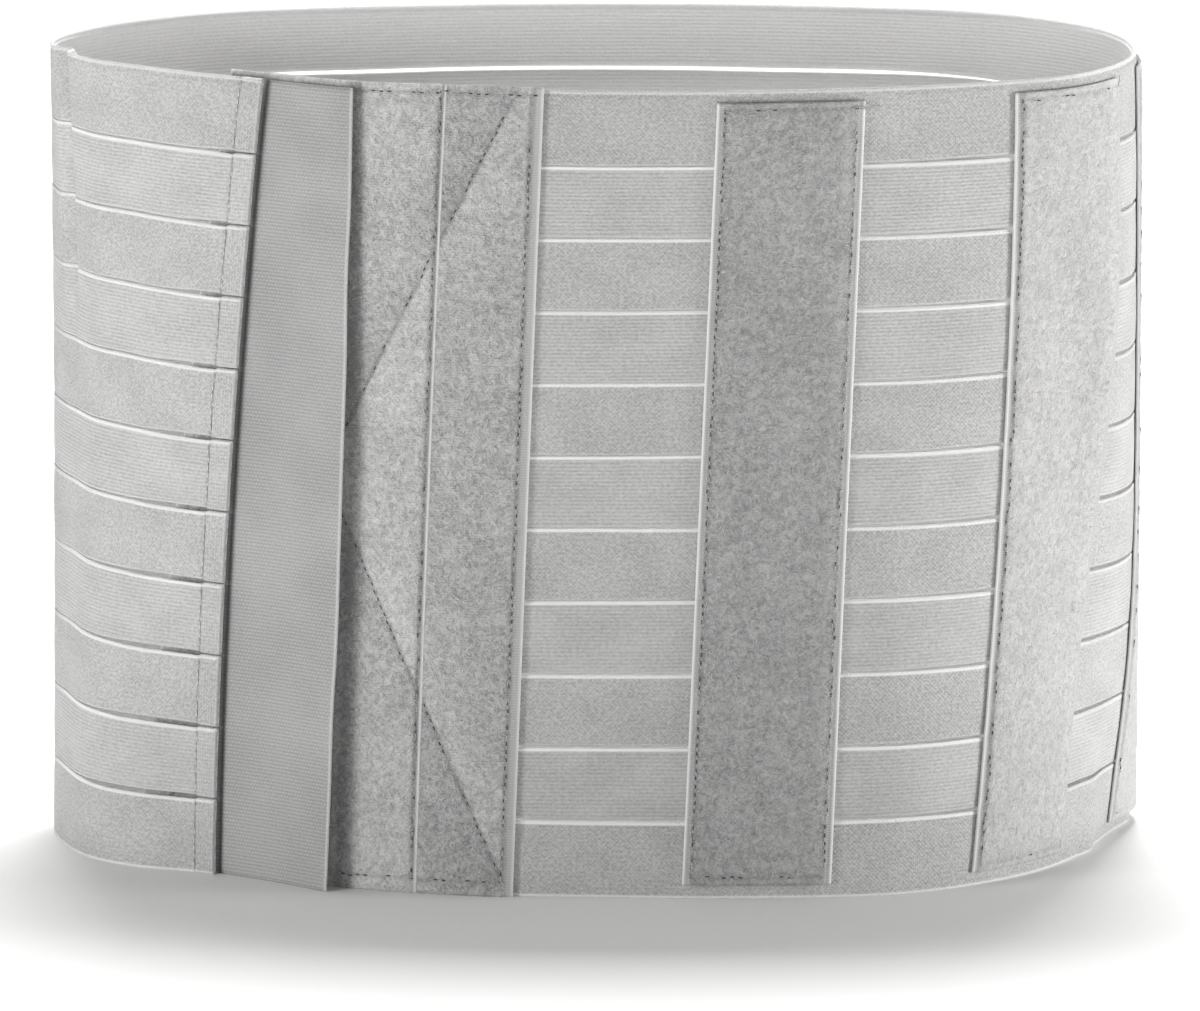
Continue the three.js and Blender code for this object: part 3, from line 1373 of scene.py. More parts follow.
HEM_ENDS = (ThreadEnd(-0.1458, 0.002, 0.0049, ((-0.6, 1.4), (0.5, 2.6), (0.1, 4.2))),)
THREAD_ENDS: dict[str, tuple[ThreadEnd, ...]] = {
    "patch_1": (
        ThreadEnd(0.0885, 0.2712, 0.0021, ((2, 0.5), (4.5, -0.2), (7.2, 0.4), (9, 0.1))),
        ThreadEnd(0.0895, 0.2705, 0.0021, ((2.2, 0.2), (5, 0.5), (7.5, -0.4))),
    ),
    "patch_2": (ThreadEnd(0.1945, 0.2706, 0.0021, ((0.5, 1.4), (1.4, 2.4), (1, 3.9))),),
    "panel_edge_tape": (
        ThreadEnd(-0.0318, 0.0062, 0.0022, ((0.6, -1.6), (-0.5, -2.6), (0.3, -4.6))),
        ThreadEnd(-0.0330, 0.0052, 0.0022, ((0.9, -0.6), (2.1, -0.2))),
    ),
}


@dataclass
class ElasticBand:
    """The eleven elastic strips, from under the panel round to the hemmed closing end.

    A row of the table of the upper selvedges is an arc in millimetres and how pale they are painted
    there: a paler selvedge with a painted highlight of the light that the edges catch, strongest at
    the front and at the left.
    """

    form: RingForm
    slits: SlitShape = field(default_factory=SlitShape)
    pale_edge_and_highlight: tuple[tuple[float, float], ...] = (
        (-60, 1),
        (130, 0.9),
        (190, 0.4),
        (600, 0.3),
        (700, 0.25),
        (730, 0.8),
        (840, 0.7),
    )
    # Painted highlight along the top strip's rim, then the reach and fade of the painted highlight
    # on all upper edges.
    rim_highlight: float = 0.45
    highlight_reach: float = 1 * MM
    highlight_fade: float = 0.4 * MM
    foot_glow: float = 0.2
    foot_glow_reach: float = 0.3 * MM
    last_foot_glow: float = 0.7
    last_foot_reach: float = 0.8 * MM
    foot_fade: float = 0.45 * MM
    hem_glow: float = 0.4
    hem_glow_fade: float = 1.5 * MM
    hem_width: float = HEM_WIDTH
    hem_lift: float = 0.5 * MM
    hem_lift_reach: float = 14 * MM
    hem_thickness: float = 2.9 * MM
    hem_turn: float = 1 * MM
    hem_spans: int = 17
    hem_seam_inset: float = 1.5 * MM
    hem_seam_hidden: float = 0.1
    fold_share: float = 0.7705
    fold_spread: float = 4.4 * MM
    fold_depth: float = 4.4 * MM
    fold_foot: float = 0.6
    fold_gain: float = 2.2
    fold_reach: float = 14 * MM
    fold_margin: float = 0.5 * MM
    fold_step: float = 0.8 * MM
    edge_dip: float = 0.2 * MM
    top_bead: float = 0.12 * MM
    top_bead_reach: float = 1.4 * MM
    foot_bead: float = 0.06 * MM
    foot_bead_reach: float = 1.2 * MM
    bead_fade: float = 0.3 * MM
    bead_places: tuple[float, ...] = (1.05 * MM, 1.2 * MM, 1.5 * MM, 2.0 * MM, 2.8 * MM)
    rim_groove: float = 0.4 * MM
    rim_groove_at: float = 1.6 * MM
    rim_groove_width: float = 0.35 * MM
    edge_reach: float = 6 * MM
    edge_share: float = 0.55
    edge_thinning: float = 2.5 * MM
    inward_wave: float = 0.25 * MM
    inward_cell: float = 55 * MM
    seed: int = 100
    station_step: float = 3 * MM
    face_inset: float = 4 * MM
    face_spans: int = 9
    end_round: float = 1.2 * MM
    end_spans: int = 4
    seam_groove: float = 0.35 * MM
    seam_groove_width: float = 0.7 * MM
    seam_rest: float = 0.6

    def build(self) -> list[bpy.types.Object]:
        """Makes the strips.

        Returns:
            The objects, the top strip first.
        """
        finishes = {weave: ElasticFinish(weave).material() for weave in Weave}
        strips = []
        for index, (low, high) in enumerate(self.form.strip_levels()):
            weave = Weave.GRAINED if index % 2 == 0 else Weave.RIBBED
            strips.append(self._strip(index, low, high, finishes[weave]))
        return strips

    def _stations(self, start: float, end: float) -> Values:
        """Gives the places along a strip, closer at its ends.

        Args:
            start: Arc of the tucked end.
            end: Arc of the fold.

        Returns:
            Arcs.
        """
        hem = end - self.hem_width
        count = math.ceil((hem - start) / self.station_step)
        angle = np.linspace(0, math.pi / 2, self.end_spans + 1)
        rounding = self.end_round * (1 - np.cos(angle))
        body = np.linspace(start + self.end_round, hem - self.end_round, count)
        valley = self.fold_share * float(self.form.girth(self.form.height))
        fine = np.arange(valley - self.fold_reach, valley + self.fold_reach, self.fold_step)
        coarse = np.abs(body - valley) > self.fold_reach + self.fold_margin
        body = np.concatenate([body[coarse], fine])
        body.sort()
        fold = np.linspace(hem - self.end_round, end - self.end_round, self.hem_spans + 1)[1:-1]
        return np.concatenate([start + rounding[:-1], body, fold, end - rounding[::-1]])

    def _loop(self, tall: float) -> SectionLoop:
        """Works out the section of a strip, with fine places for the beads of its selvedges.

        Args:
            tall: The strip's height.

        Returns:
            The section.
        """
        radius = self.form.layers.elastic_wall / 2
        near = np.array(self.bead_places)
        body = np.linspace(self.face_inset, tall - self.face_inset, self.face_spans)
        face = np.concatenate([near, body, tall - near[::-1]])
        back = np.concatenate([near[3:], body, tall - near[:2:-1]])
        return SectionLoop.around(tall, radius, face, back)

    def _strip(
        self, index: int, low: float, high: float, material: bpy.types.Material
    ) -> bpy.types.Object:
        """Makes one strip.

        Args:
            index: Its place from the top.
            low: Height of its lower edge.
            high: Height of its upper edge.
            material: Its finish.

        Returns:
            The object.
        """
        form, wall = self.form, self.form.layers.elastic_wall
        tall = high - low
        uneven = Unevenness(self.seed + index)
        middle = (low + high) / 2
        start = float(form.panel_right(middle) - form.elastic_tuck)
        end = float(form.hem(middle) + form.girth(middle))
        loop = self._loop(tall)
        along = self._stations(start, end)[:, None]
        across, side = loop.across[None, :], loop.side[None, :]
        z = low + across
        start_z, end_z = form.panel_right(z) - form.elastic_tuck, form.hem(z) + form.girth(z)
        share = (along - start) / (end - start)
        arc = start_z + share * (end_z - start_z)
        to_end, to_start = end - along, along - start
        from_foot, from_top = across, tall - across
        to_edge = np.minimum(from_foot, from_top)

        closing = np.where(share > 0.5, form.closing_out(arc - form.girth(z), z), 0)
        rest = 1 - smooth(closing / (form.layers.closing / 2))
        wave = uneven.at(arc, np.zeros_like(arc), (self.inward_cell, 1))
        inward = (wave + 1) / 2 * self.inward_wave
        bow = ((2 * across / tall - 1) ** 2) * self.edge_dip
        bead = self.top_bead * smooth((self.top_bead_reach - from_top) / self.bead_fade)
        low_bead = smooth((self.foot_bead_reach - from_foot) / self.bead_fade)
        bead = bead + self.foot_bead * low_bead
        rim_groove = self.rim_groove * bell(from_top - self.rim_groove_at, self.rim_groove_width)
        bead = bead - rim_groove * (index == 0)
        groove = self.seam_groove * bell(to_end - self.hem_width, self.seam_groove_width)
        lift = self.hem_lift * smooth(1 - to_end / self.hem_lift_reach)
        outer = closing - inward * rest - bow + bead - groove + lift - self._fold(arc, z)
        thin = self.edge_share + (1 - self.edge_share) * smooth(to_edge / self.edge_thinning)
        folded = smooth((self.hem_width - to_end) / self.hem_turn)
        thickness = wall * thin * (1 - folded) + self.hem_thickness * folded
        rounding = np.minimum(to_end, to_start) / self.end_round
        ends = np.sqrt(np.clip(1 - (1 - np.clip(rounding, 0, 1)) ** 2, 0, 1))
        out = outer - thickness / 2 + side * ends * thickness / 2

        lifted = z + self._edge_shift(index, arc, form.girth(z), to_end, from_foot, from_top)
        points = form.place(arc, lifted, out)
        arc, lifted, sides = np.broadcast_arrays(arc, lifted, side)
        selvedge = self._selvedge(index, arc, to_end, from_foot, from_top)
        attributes = {
            CLOTH: np.stack([arc, lifted, sides], axis=-1),
            EDGE: np.broadcast_to(selvedge, arc.shape),
            SEAM: np.broadcast_to(to_end, arc.shape),
        }
        return Cloth.sheet(f"strip_{index + 1:02d}", points, attributes, material)

    def _selvedge(
        self, index: int, arc: Values, to_end: Values, from_foot: Values, from_top: Values
    ) -> Values:
        """Gives how pale the selvedges and the fold of a strip are painted: paler selvedges and
        fold, with a painted highlight along the upper edges.

        Args:
            index: The strip's place from the top.
            arc: Arcs.
            to_end: Distance to the fold of the closing end.
            from_foot: Distance from the strip's lower edge.
            from_top: Distance from its upper edge.

        Returns:
            Shares of the selvedge's tone.
        """
        pale_edge_and_highlight = np.interp(arc / MM, *np.array(self.pale_edge_and_highlight).T) if index else self.rim_highlight
        top = (1 - smooth((from_top - self.highlight_reach) / self.highlight_fade)) * pale_edge_and_highlight
        last = index == self.form.strip_count - 1
        foot_reach = self.last_foot_reach if last else self.foot_glow_reach
        foot_glow = self.last_foot_glow if last else self.foot_glow
        foot = (1 - smooth((from_foot - foot_reach) / self.foot_fade)) * foot_glow
        fold = (1 - smooth(to_end / self.hem_glow_fade)) * self.hem_glow
        return np.maximum(np.maximum(top, foot), fold)

    def _fold(self, arc: Values, z: Values) -> Values:
        """Gives how deep the wall tucks in beside the left tip, in the upper strips.

        Args:
            arc: Arcs.
            z: Heights.

        Returns:
            Distances inwards.
        """
        valley = arc - self.fold_share * self.form.girth(z)
        share = (z / self.form.height - self.fold_foot) / (1 - self.fold_foot)
        return self.fold_depth * bell(valley, self.fold_spread) * smooth(share * self.fold_gain)

    def _edge_shift(
        self,
        index: int,
        arc: Values,
        girth: Values,
        to_end: Values,
        from_foot: Values,
        from_top: Values,
    ) -> Values:
        """Gives how far a strip's points move up or down where it bounds a slit.

        Args:
            index: The strip's place from the top.
            arc: Arcs.
            girth: The girth there.
            to_end: Distance to the fold of the closing end.
            from_foot: Distance from the strip's lower edge.
            from_top: Distance from its upper edge.

        Returns:
            Shifts upwards.
        """
        shift = np.zeros_like(arc)
        half = self.form.slit / 2
        if index > 0:
            closed = 1 - self.slits.opening(arc, girth, to_end, index - 1)
            rise = closed * half + self.slits.shift(arc, index - 1)
            shift = shift + rise * smooth(1 - from_top / self.edge_reach)
        if index < self.form.strip_count - 1:
            closed = 1 - self.slits.opening(arc, girth, to_end, index)
            drop = self.slits.shift(arc, index) - closed * half
            shift = shift + drop * smooth(1 - from_foot / self.edge_reach)
        return shift

    def flat_size(self, level: tuple[float, float]) -> tuple[float, float]:
        """Works out the size that a strip was cut to, hem included.

        Args:
            level: Its low and its high edge.

        Returns:
            Its width and its length.
        """
        middle = sum(level) / 2
        run = self.form.hem(middle) + self.form.girth(middle) - self.form.panel_right(middle)
        return level[1] - level[0], float(run + self.form.elastic_tuck + self.hem_width)

    def hem_out(self, arc: Values, z: Values) -> Values:
        """Gives how far the stitch line of the hem lies out.

        Args:
            arc: Arcs.
            z: Heights, which make no difference.

        Returns:
            Distances out.
        """
        lift = float(self.hem_lift * smooth(1 - self.hem_width / self.hem_lift_reach))
        groove = self.seam_groove * self.seam_rest
        return np.full_like(arc, self.form.layers.closing + lift - groove)

    def hem_seams(self) -> list[SeamLine]:
        """Lays out the stitching of the closing end.

        Returns:
            The stitch line of each strip's hem.
        """

        def line(z: Values) -> Values:
            """Returns the arc of the stitch line."""
            return self.form.hem(z) - self.hem_width

        inset = self.hem_seam_inset
        return [
            SeamLine.up(line, low + inset, high - inset, hidden=self.hem_seam_hidden, turns=3)
            for low, high in self.form.strip_levels()
        ]


@dataclass
class LoopTape:
    """A tape of loop pile, sewn flat on the ring, with woven selvedges where they show."""

    name: str
    form: RingForm
    left: Callable[[Values], Values]
    right: Callable[[Values], Values]
    foot: float
    top: float
    inner: float
    seams: list[SeamLine]
    selvedges: tuple[float, float] = (2 * MM, 2 * MM)
    finish: PileFinish = PileFinish()
    nap_and_light: Callable[[Values, Values], Values] | None = None
    cover: Callable[[Values], Values] | None = None
    # Paleness and painted highlight of the left and the right selvedge.
    pale_edge_and_highlight: tuple[float, float] = (1, 1)
    imprint: float = 0.0
    imprint_width: float = 2 * MM
    seed: int = 1
    woven: float = 0.9 * MM
    pile_fade: float = 0.9 * MM
    bead: float = 0.15 * MM
    bead_width: float = 0.5 * MM
    bead_fade: float = 0.3 * MM
    tuft: float = 0.16 * MM
    tuft_cell: tuple[float, float] = (1.7 * MM, 1.9 * MM)
    fine_tuft: float = 0.6
    fine_tuft_cell: tuple[float, float] = (0.9 * MM, 1 * MM)
    swell: float = 0.12 * MM
    swell_cell: tuple[float, float] = (9 * MM, 14 * MM)
    seam_width: float = 0.75 * MM
    seam_depth: float = 0.55
    seam_smoothing: float = 0.6
    seam_share: float = 0.75
    seam_patches: float = 0.35
    seam_cell: tuple[float, float] = (4 * MM, 4 * MM)
    cell: float = 0.8 * MM
    inner_spans: int = 8
    rounding: float = 0.45 * MM
    end_thinning: float = 1 * MM
    shown_inset: float = 0.8 * MM

    def _face(self, arc: Values, z: Values) -> tuple[Values, Values, Values]:
        """Works out the outer face.

        Args:
            arc: Arcs.
            z: Heights.

        Returns:
            Distance out, share of pile and nearness to a seam.
        """
        left, right = arc - self.left(z), self.right(z) - arc
        pile = smooth((left - self.selvedges[0]) / self.pile_fade)
        pile = pile * smooth((right - self.selvedges[1]) / self.pile_fade)
        seam = np.zeros(np.broadcast(arc, z).shape)
        rough = Unevenness(self.seed)
        patchy = self.seam_share + self.seam_patches * rough.at(z, arc, self.seam_cell)
        for line in self.seams:
            near = bell(line.distance(arc, z), self.seam_width)
            seam = np.maximum(seam, near * line.weight * patchy)
        tufts = rough.at(arc, z, self.tuft_cell)
        tufts = tufts + self.fine_tuft * rough.at(z, arc, self.fine_tuft_cell)
        swell = rough.at(arc, z, self.swell_cell) * self.swell
        press = sum(bell(z - slit, self.imprint_width) for slit in self.form.slits())
        full = self.form.layers.loop_wall - self.woven
        raised = full * pile * (1 - self.seam_depth * seam)
        raised = raised + tufts * self.tuft * pile * (1 - self.seam_smoothing * seam)
        bead = self._bead(arc, z) * self.bead
        out = self.inner + self.woven + raised + bead + swell * pile - press * self.imprint
        return out, pile, seam

    def _bead(self, arc: Values, z: Values) -> Values:
        """Works out the pale bead along both selvedges, weighted on each side by its paleness and
        painted highlight.

        Args:
            arc: Arcs.
            z: Heights.

        Returns:
            Shares between 0 and 1.
        """
        left = 1 - smooth((arc - self.left(z) - self.bead_width) / self.bead_fade)
        right = 1 - smooth((self.right(z) - arc - self.bead_width) / self.bead_fade)
        return np.maximum(left * self.pale_edge_and_highlight[0], right * self.pale_edge_and_highlight[1])

    def shows(self, arc: float, z: float) -> bool:
        """Says whether the tape's face shows at a place.

        Args:
            arc: The place's arc.
            z: Its height.

        Returns:
            Whether it shows.
        """
        inset = self.shown_inset
        inside = self.left(z) + inset < arc < self.right(z) - inset
        return bool(inside and (self.cover is None or arc > self.cover(z) + inset))

    def out(self, arc: Values, z: Values) -> Values:
        """Returns the distance out of the face at places on the tape."""
        return self._face(arc, z)[0]

    def build(self) -> bpy.types.Object:
        """Makes the tape and dresses it in its pile.

        Returns:
            The object.
        """
        middle = (self.foot + self.top) / 2
        width = float(self.right(middle) - self.left(middle))
        radius = self.rounding / width
        face = SectionLoop.even(1.0, radius, math.ceil(width / self.cell))
        back = SectionLoop.even(1.0, radius, self.inner_spans)
        loop = SectionLoop.around(1.0, radius, face, back, rounding=2)
        count = math.ceil((self.top - self.foot) / self.cell)
        z = np.linspace(self.foot, self.top, count + 1)[:, None]
        arc = self.left(z) + loop.across[None, :] * (self.right(z) - self.left(z))
        side = np.broadcast_to(loop.side[None, :], arc.shape)
        outer, pile, seam = self._face(arc, z)
        end = smooth(np.minimum(z - self.foot, self.top - z) / self.end_thinning) * 0.5 + 0.5
        half = (outer - self.inner) / 2
        out = self.inner + half + side * half * end
        points = self.form.place(arc, z, out)
        nap_and_light = self.nap_and_light(arc, z) if self.nap_and_light else np.zeros_like(arc)
        facing = side > 0
        attributes = {
            CLOTH: np.stack([arc, np.broadcast_to(z, arc.shape), side], axis=-1),
            PILE: pile,
            SEAM: seam * facing,
            NAP_AND_LIGHT: nap_and_light,
            EDGE: self._bead(arc, z),
        }
        return Cloth.sheet(self.name, points, attributes, self.finish.material())

    def flat_size(self) -> tuple[float, float]:
        """Returns the width and length that the tape was cut to."""
        middle = (self.foot + self.top) / 2
        return float(self.right(middle) - self.left(middle)), self.top - self.foot


@dataclass
class HookTape:
    """The hook tape under the hem, seen from its back, with its free edge standing off."""

    form: RingForm
    width: float = 50.8 * MM
    top_margin: float = 1 * MM
    lift: float = 7 * MM
    lift_shares: Lean = Lean(0.1, 0.65, 1)
    selvedge: float = 1.1 * MM
    selvedge_bead: float = 0.12 * MM
    edge_wave: float = 0.35 * MM
    wave_cell: float = 30 * MM
    seed: int = 41
    # Width of the painted shadow that the hem casts on the backing.
    hem_shadow_width: float = 0.8 * MM
    rounding: float = 0.4 * MM
    end_thinning: float = 0.8 * MM
    end_share: float = 0.4
    cell: float = 0.8 * MM
    row_step: float = 1.6 * MM

    def right(self, z: Values) -> Values:
        """Returns the arc of the free edge, which waves a little."""
        wave = Unevenness(self.seed).at(z, np.zeros_like(z), (self.wave_cell, 1))
        return self.form.edge(self.form.hook_right_edge, z) + self.edge_wave * wave

    def build(self, material: bpy.types.Material) -> bpy.types.Object:
        """Makes the tape.

        Args:
            material: Its finish.

        Returns:
            The object.
        """
        form, wall = self.form, self.form.layers.hook_wall
        face = SectionLoop.even(self.width, self.rounding, math.ceil(self.width / self.cell))
        loop = SectionLoop.around(self.width, self.rounding, face, face, rounding=2)
        top = form.height - self.top_margin
        z = np.linspace(0, top, math.ceil(top / self.row_step) + 1)[:, None]
        arc = self.right(z) - self.width + loop.across[None, :]
        free = np.maximum(0, (arc - form.hem(z)) / (self.right(z) - form.hem(z)))
        rise = self.lift * self.lift_shares.at(z / form.height) * free**2
        to_edge = self.width - loop.across[None, :]
        bead = self.selvedge_bead * bell(to_edge - self.selvedge / 2, self.selvedge / 2)
        side = np.broadcast_to(loop.side[None, :], arc.shape)
        end = smooth(np.minimum(z, top - z) / self.end_thinning)
        end = end * (1 - self.end_share) + self.end_share
        out = form.layers.hook + rise + wall / 2 + side * (wall / 2 + bead) * end
        points = form.place(arc, z, out)
        edge = 1 - smooth((to_edge - self.selvedge * 0.6) / (self.selvedge * 0.5))
        # Painted shadow of the hem, along its fold.
        hem_shadow = bell(arc - form.hem(z), self.hem_shadow_width)
        attributes = {
            CLOTH: np.stack([arc, np.broadcast_to(z, arc.shape), side], axis=-1),
            SEAM: np.broadcast_to(edge, arc.shape),
            NAP_AND_LIGHT: hem_shadow,
        }
        return Cloth.sheet("hook_backing", points, attributes, material)


@dataclass
class LoopPanel:
    """The front panel of two loop tapes, hemmed and cross stitched."""

    form: RingForm
    hem_top: float = 2.9 * MM
    hem_foot: float = 5 * MM
    side_inset: float = 4 * MM
    ridge_inset: float = 1.9 * MM
    hem_weight: float = 0.5
    hem_hidden: float = 0.45
    ridge_hidden: float = 0.6
    crossing: tuple[float, float] = (-93.6 * MM, 143.5 * MM)
    arm_top: tuple[float, float] = (-27 * MM, 275 * MM)
    arm_foot: tuple[float, float] = (-31.5 * MM, 6 * MM)
    arm_weight: float = 0.85
    arm_hidden: float = 0.5
    brushed: float = 0.7
    brushed_reach: float = 16 * MM
    brushed_turn: float = 2 * MM
    # Painted shadow of the hook tape's lifted edge on the pile: its strength and reach.
    shade: float = 2.2
    hook_shadow_reach: float = 2.6 * MM
    # Painted highlight along the panel's top: its strength and reach.
    fringe_highlight: float = 1.2
    fringe: float = 1.3 * MM
    covered_inset: float = 6 * MM
    sunk: float = 1.2 * MM
    seeds: tuple[int, int] = (21, 22)

    def arms(self) -> list[SeamLine]:
        """Lays out the cross stitch, whose arms meet under the hook tape.

        Returns:
            Its four arms.
        """
        arms = []
        for end, z in (self.arm_top, self.arm_foot):
            left = float(self.form.panel_left(z)) + self.side_inset
            for far in ((end, z), (left, z)):
                line = np.array([far, self.crossing])
                arms.append(SeamLine(line, self.arm_weight, self.arm_hidden))
        return arms

    def hems(self) -> list[SeamLine]:
        """Lays out the level seams.

        Returns:
            The seams along the top and the foot.
        """
        top, foot = self.form.height + self.form.panel_rise - self.hem_top, self.hem_foot
        lines = []
        for z in (top, foot):
            left = float(self.form.panel_left(z)) + self.side_inset
            right = float(self.form.panel_right(z)) - self.side_inset
            lines.append(SeamLine.level(left, right, z, self.hem_weight, self.hem_hidden))
        return lines

    def nap_and_light(self, arc: Values, z: Values) -> Values:
        """Gives how light the pile looks: brushed lighter and darker on the two sides of the cross
        stitch, with a painted shadow beside the hook tape's free edge and a painted highlight along
        the top.

        Args:
            arc: Arcs.
            z: Heights.

        Returns:
            1 where it looks light, -1 where it looks dark.
        """
        high = z > self.crossing[1]
        end, level = (np.where(high, self.arm_top[k], self.arm_foot[k]) for k in range(2))
        share = (z - self.crossing[1]) / (level - self.crossing[1])
        past = arc - (self.crossing[0] + share * (end - self.crossing[0]))
        right = smooth((past + self.brushed_turn) / (2 * self.brushed_turn))
        near = bell(past, self.brushed_reach)
        brushed = right * near * self.brushed - (1 - right) * near * self.brushed
        hook = arc - self.form.edge(self.form.hook_right_edge, z)
        to_top = self.form.height + self.form.panel_rise - z
        fringe = self.fringe_highlight * bell(to_top, self.fringe)
        # Painted shadow beside the hook tape's free edge, and the painted highlight along the top.
        return brushed - bell(hook, self.hook_shadow_reach) * self.shade + fringe

    def tapes(self) -> list[LoopTape]:
        """Lays out the two tapes.

        Returns:
            The narrow tape at the right edge, and the wide tape that laps over it.
        """
        form = self.form
        top = form.height + form.panel_rise
        seams = self.arms() + self.hems()
        low, high = self.hem_foot, top - self.hem_top
        right = SeamLine.up(lambda z: form.panel_right(z) - self.side_inset, low, high)
        ridge = SeamLine.up(
            lambda z: form.wide_tape_right(z) - self.ridge_inset,
            low,
            high,
            hidden=self.ridge_hidden,
        )
        edge_tape = LoopTape(
            "panel_edge_tape",
            form,
            left=lambda z: form.panel_right(z) - form.edge_tape_width,
            right=form.panel_right,
            foot=0.0,
            top=top,
            inner=form.layers.edge_tape,
            seams=[*seams, right],
            selvedges=(0.6 * MM, 2.9 * MM),
            finish=PileFinish("edge_tape_pile", 0.6, 0.19, selvedge=0.6),
            nap_and_light=self.nap_and_light,
            cover=form.wide_tape_right,
            seed=self.seeds[0],
        )
        wide_tape = LoopTape(
            "panel_wide_tape",
            form,
            left=form.panel_left,
            right=form.wide_tape_right,
            foot=0.0,
            top=top,
            inner=form.layers.wide_tape - self.sunk,
            seams=[*seams, ridge],
            selvedges=(0.6 * MM, 1.0 * MM),
            finish=PileFinish("wide_tape_pile", 0.66, 0.24),
            nap_and_light=self.nap_and_light,
            cover=lambda z: form.edge(form.hook_right_edge, z) - self.covered_inset,
            seed=self.seeds[1],
        )
        return [edge_tape, wide_tape]


@dataclass(frozen=True)
class PatchLook:
    """How one loop patch looks: its pile, whose tones are painted lighter or darker for how the
    patch is lit, the paleness and painted highlight of its selvedges, and its seams.
    """

    finish: PileFinish
    pale_edge_and_highlight: tuple[float, float]
    weight: float
    hidden_left: float
    hidden_right: float
    hidden_ends: float


# The same loop tape in three tones: painted light and shade for how each patch faces the lamps.
PATCH_LOOKS: tuple[PatchLook, ...] = (
    PatchLook(PileFinish("patch_1_pile", 0.5, 0.17), (1, 0.9), 0.85, 0.2, 0.5, 0.7),
    PatchLook(
        PileFinish("patch_2_pile", 0.58, 0.29, relief=0.28 * MM), (0.9, 0), 0.6, 0.3, 1, 0.7
    ),
    PatchLook(
        PileFinish("patch_3_pile", 0.55, 0.36, relief=0.25 * MM), (0.25, 0.25), 0.35, 0.8, 0.9, 0.9
    ),
)


@dataclass
class LoopPatch:
    """One of the three loop tapes that are sewn on the elastic."""

    form: RingForm
    index: int
    look: PatchLook
    inset: float = 2.9 * MM
    end_inset: float = 2.6 * MM
    end_weight: float = 0.6
    sunk: float = 0.3 * MM
    imprint: float = 0.15 * MM
    # Painted highlight along the patch's top: its reach and strength.
    fringe: float = 1.4 * MM
    fringe_highlight: float = 1.3
    brushed: float = 0.6
    brushed_at: float = 5 * MM
    brushed_width: float = 2.6 * MM
    seed: int = 31

    def nap_and_light(self, arc: Values, z: Values) -> Values:
        """Gives where the pile is painted lighter: a painted highlight along the top, and a lighter
        band beside the right seam.

        Args:
            arc: Arcs.
            z: Heights.

        Returns:
            0 where it looks plain, 1 and more where it looks light.
        """
        form = self.form
        to_top = form.height - form.patch_top_margin - z
        to_right = form.edge(form.patch_edges[self.index], z) + form.patch_width - arc
        beside = bell(to_right - self.brushed_at, self.brushed_width)
        return self.fringe_highlight * bell(to_top, self.fringe) + self.brushed * beside

    def tape(self) -> LoopTape:
        """Lays out the patch.

        Returns:
            Its tape, with four seams.
        """
        form, look, lean = self.form, self.look, self.form.patch_edges[self.index]
        foot, top = form.patch_foot_margin, form.height - form.patch_top_margin
        low, high = foot + self.end_inset, top - self.end_inset

        def left(z: Values) -> Values:
            """Returns the arc of the left edge."""
            return form.edge(lean, z)

        def right(z: Values) -> Values:
            """Returns the arc of the right edge."""
            return form.edge(lean, z) + form.patch_width

        faded = look.weight * (1 - look.hidden_right) ** 0.5
        seams = [
            SeamLine.up(lambda z: left(z) + self.inset, low, high, look.weight, look.hidden_left),
            SeamLine.up(lambda z: right(z) - self.inset, low, high, faded, look.hidden_right),
        ]
        for z in (low, high):
            ends = float(left(z)) + self.inset, float(right(z)) - self.inset
            seams.append(SeamLine.level(*ends, z, look.weight * self.end_weight, look.hidden_ends))
        return LoopTape(
            f"patch_{self.index + 1}",
            form,
            left=left,
            right=right,
            foot=foot,
            top=top,
            inner=form.layers.gap - self.sunk,
            seams=seams,
            finish=look.finish,
            nap_and_light=self.nap_and_light,
            pale_edge_and_highlight=look.pale_edge_and_highlight,
            imprint=self.imprint,
            seed=self.seed + self.index,
        )


@dataclass(frozen=True)
class SoftBox:
    """A square area light that points at the middle of the binder."""

    name: str
    place: tuple[float, float, float]
    size: float
    watts: float
    aim: tuple[float, float, float] = (0, 0, 0.14)

    def build(self) -> None:
        """Makes the light."""
        data = bpy.data.lights.new(self.name, "AREA")
        data.shape = "SQUARE"
        data.size = self.size
        data.energy = self.watts
        light = bpy.data.objects.new(self.name, data)
        light.location = self.place
        towards = Vector(self.aim) - Vector(self.place)
        light.rotation_euler = towards.to_track_quat("-Z", "Y").to_euler()
        bpy.context.scene.collection.objects.link(light)


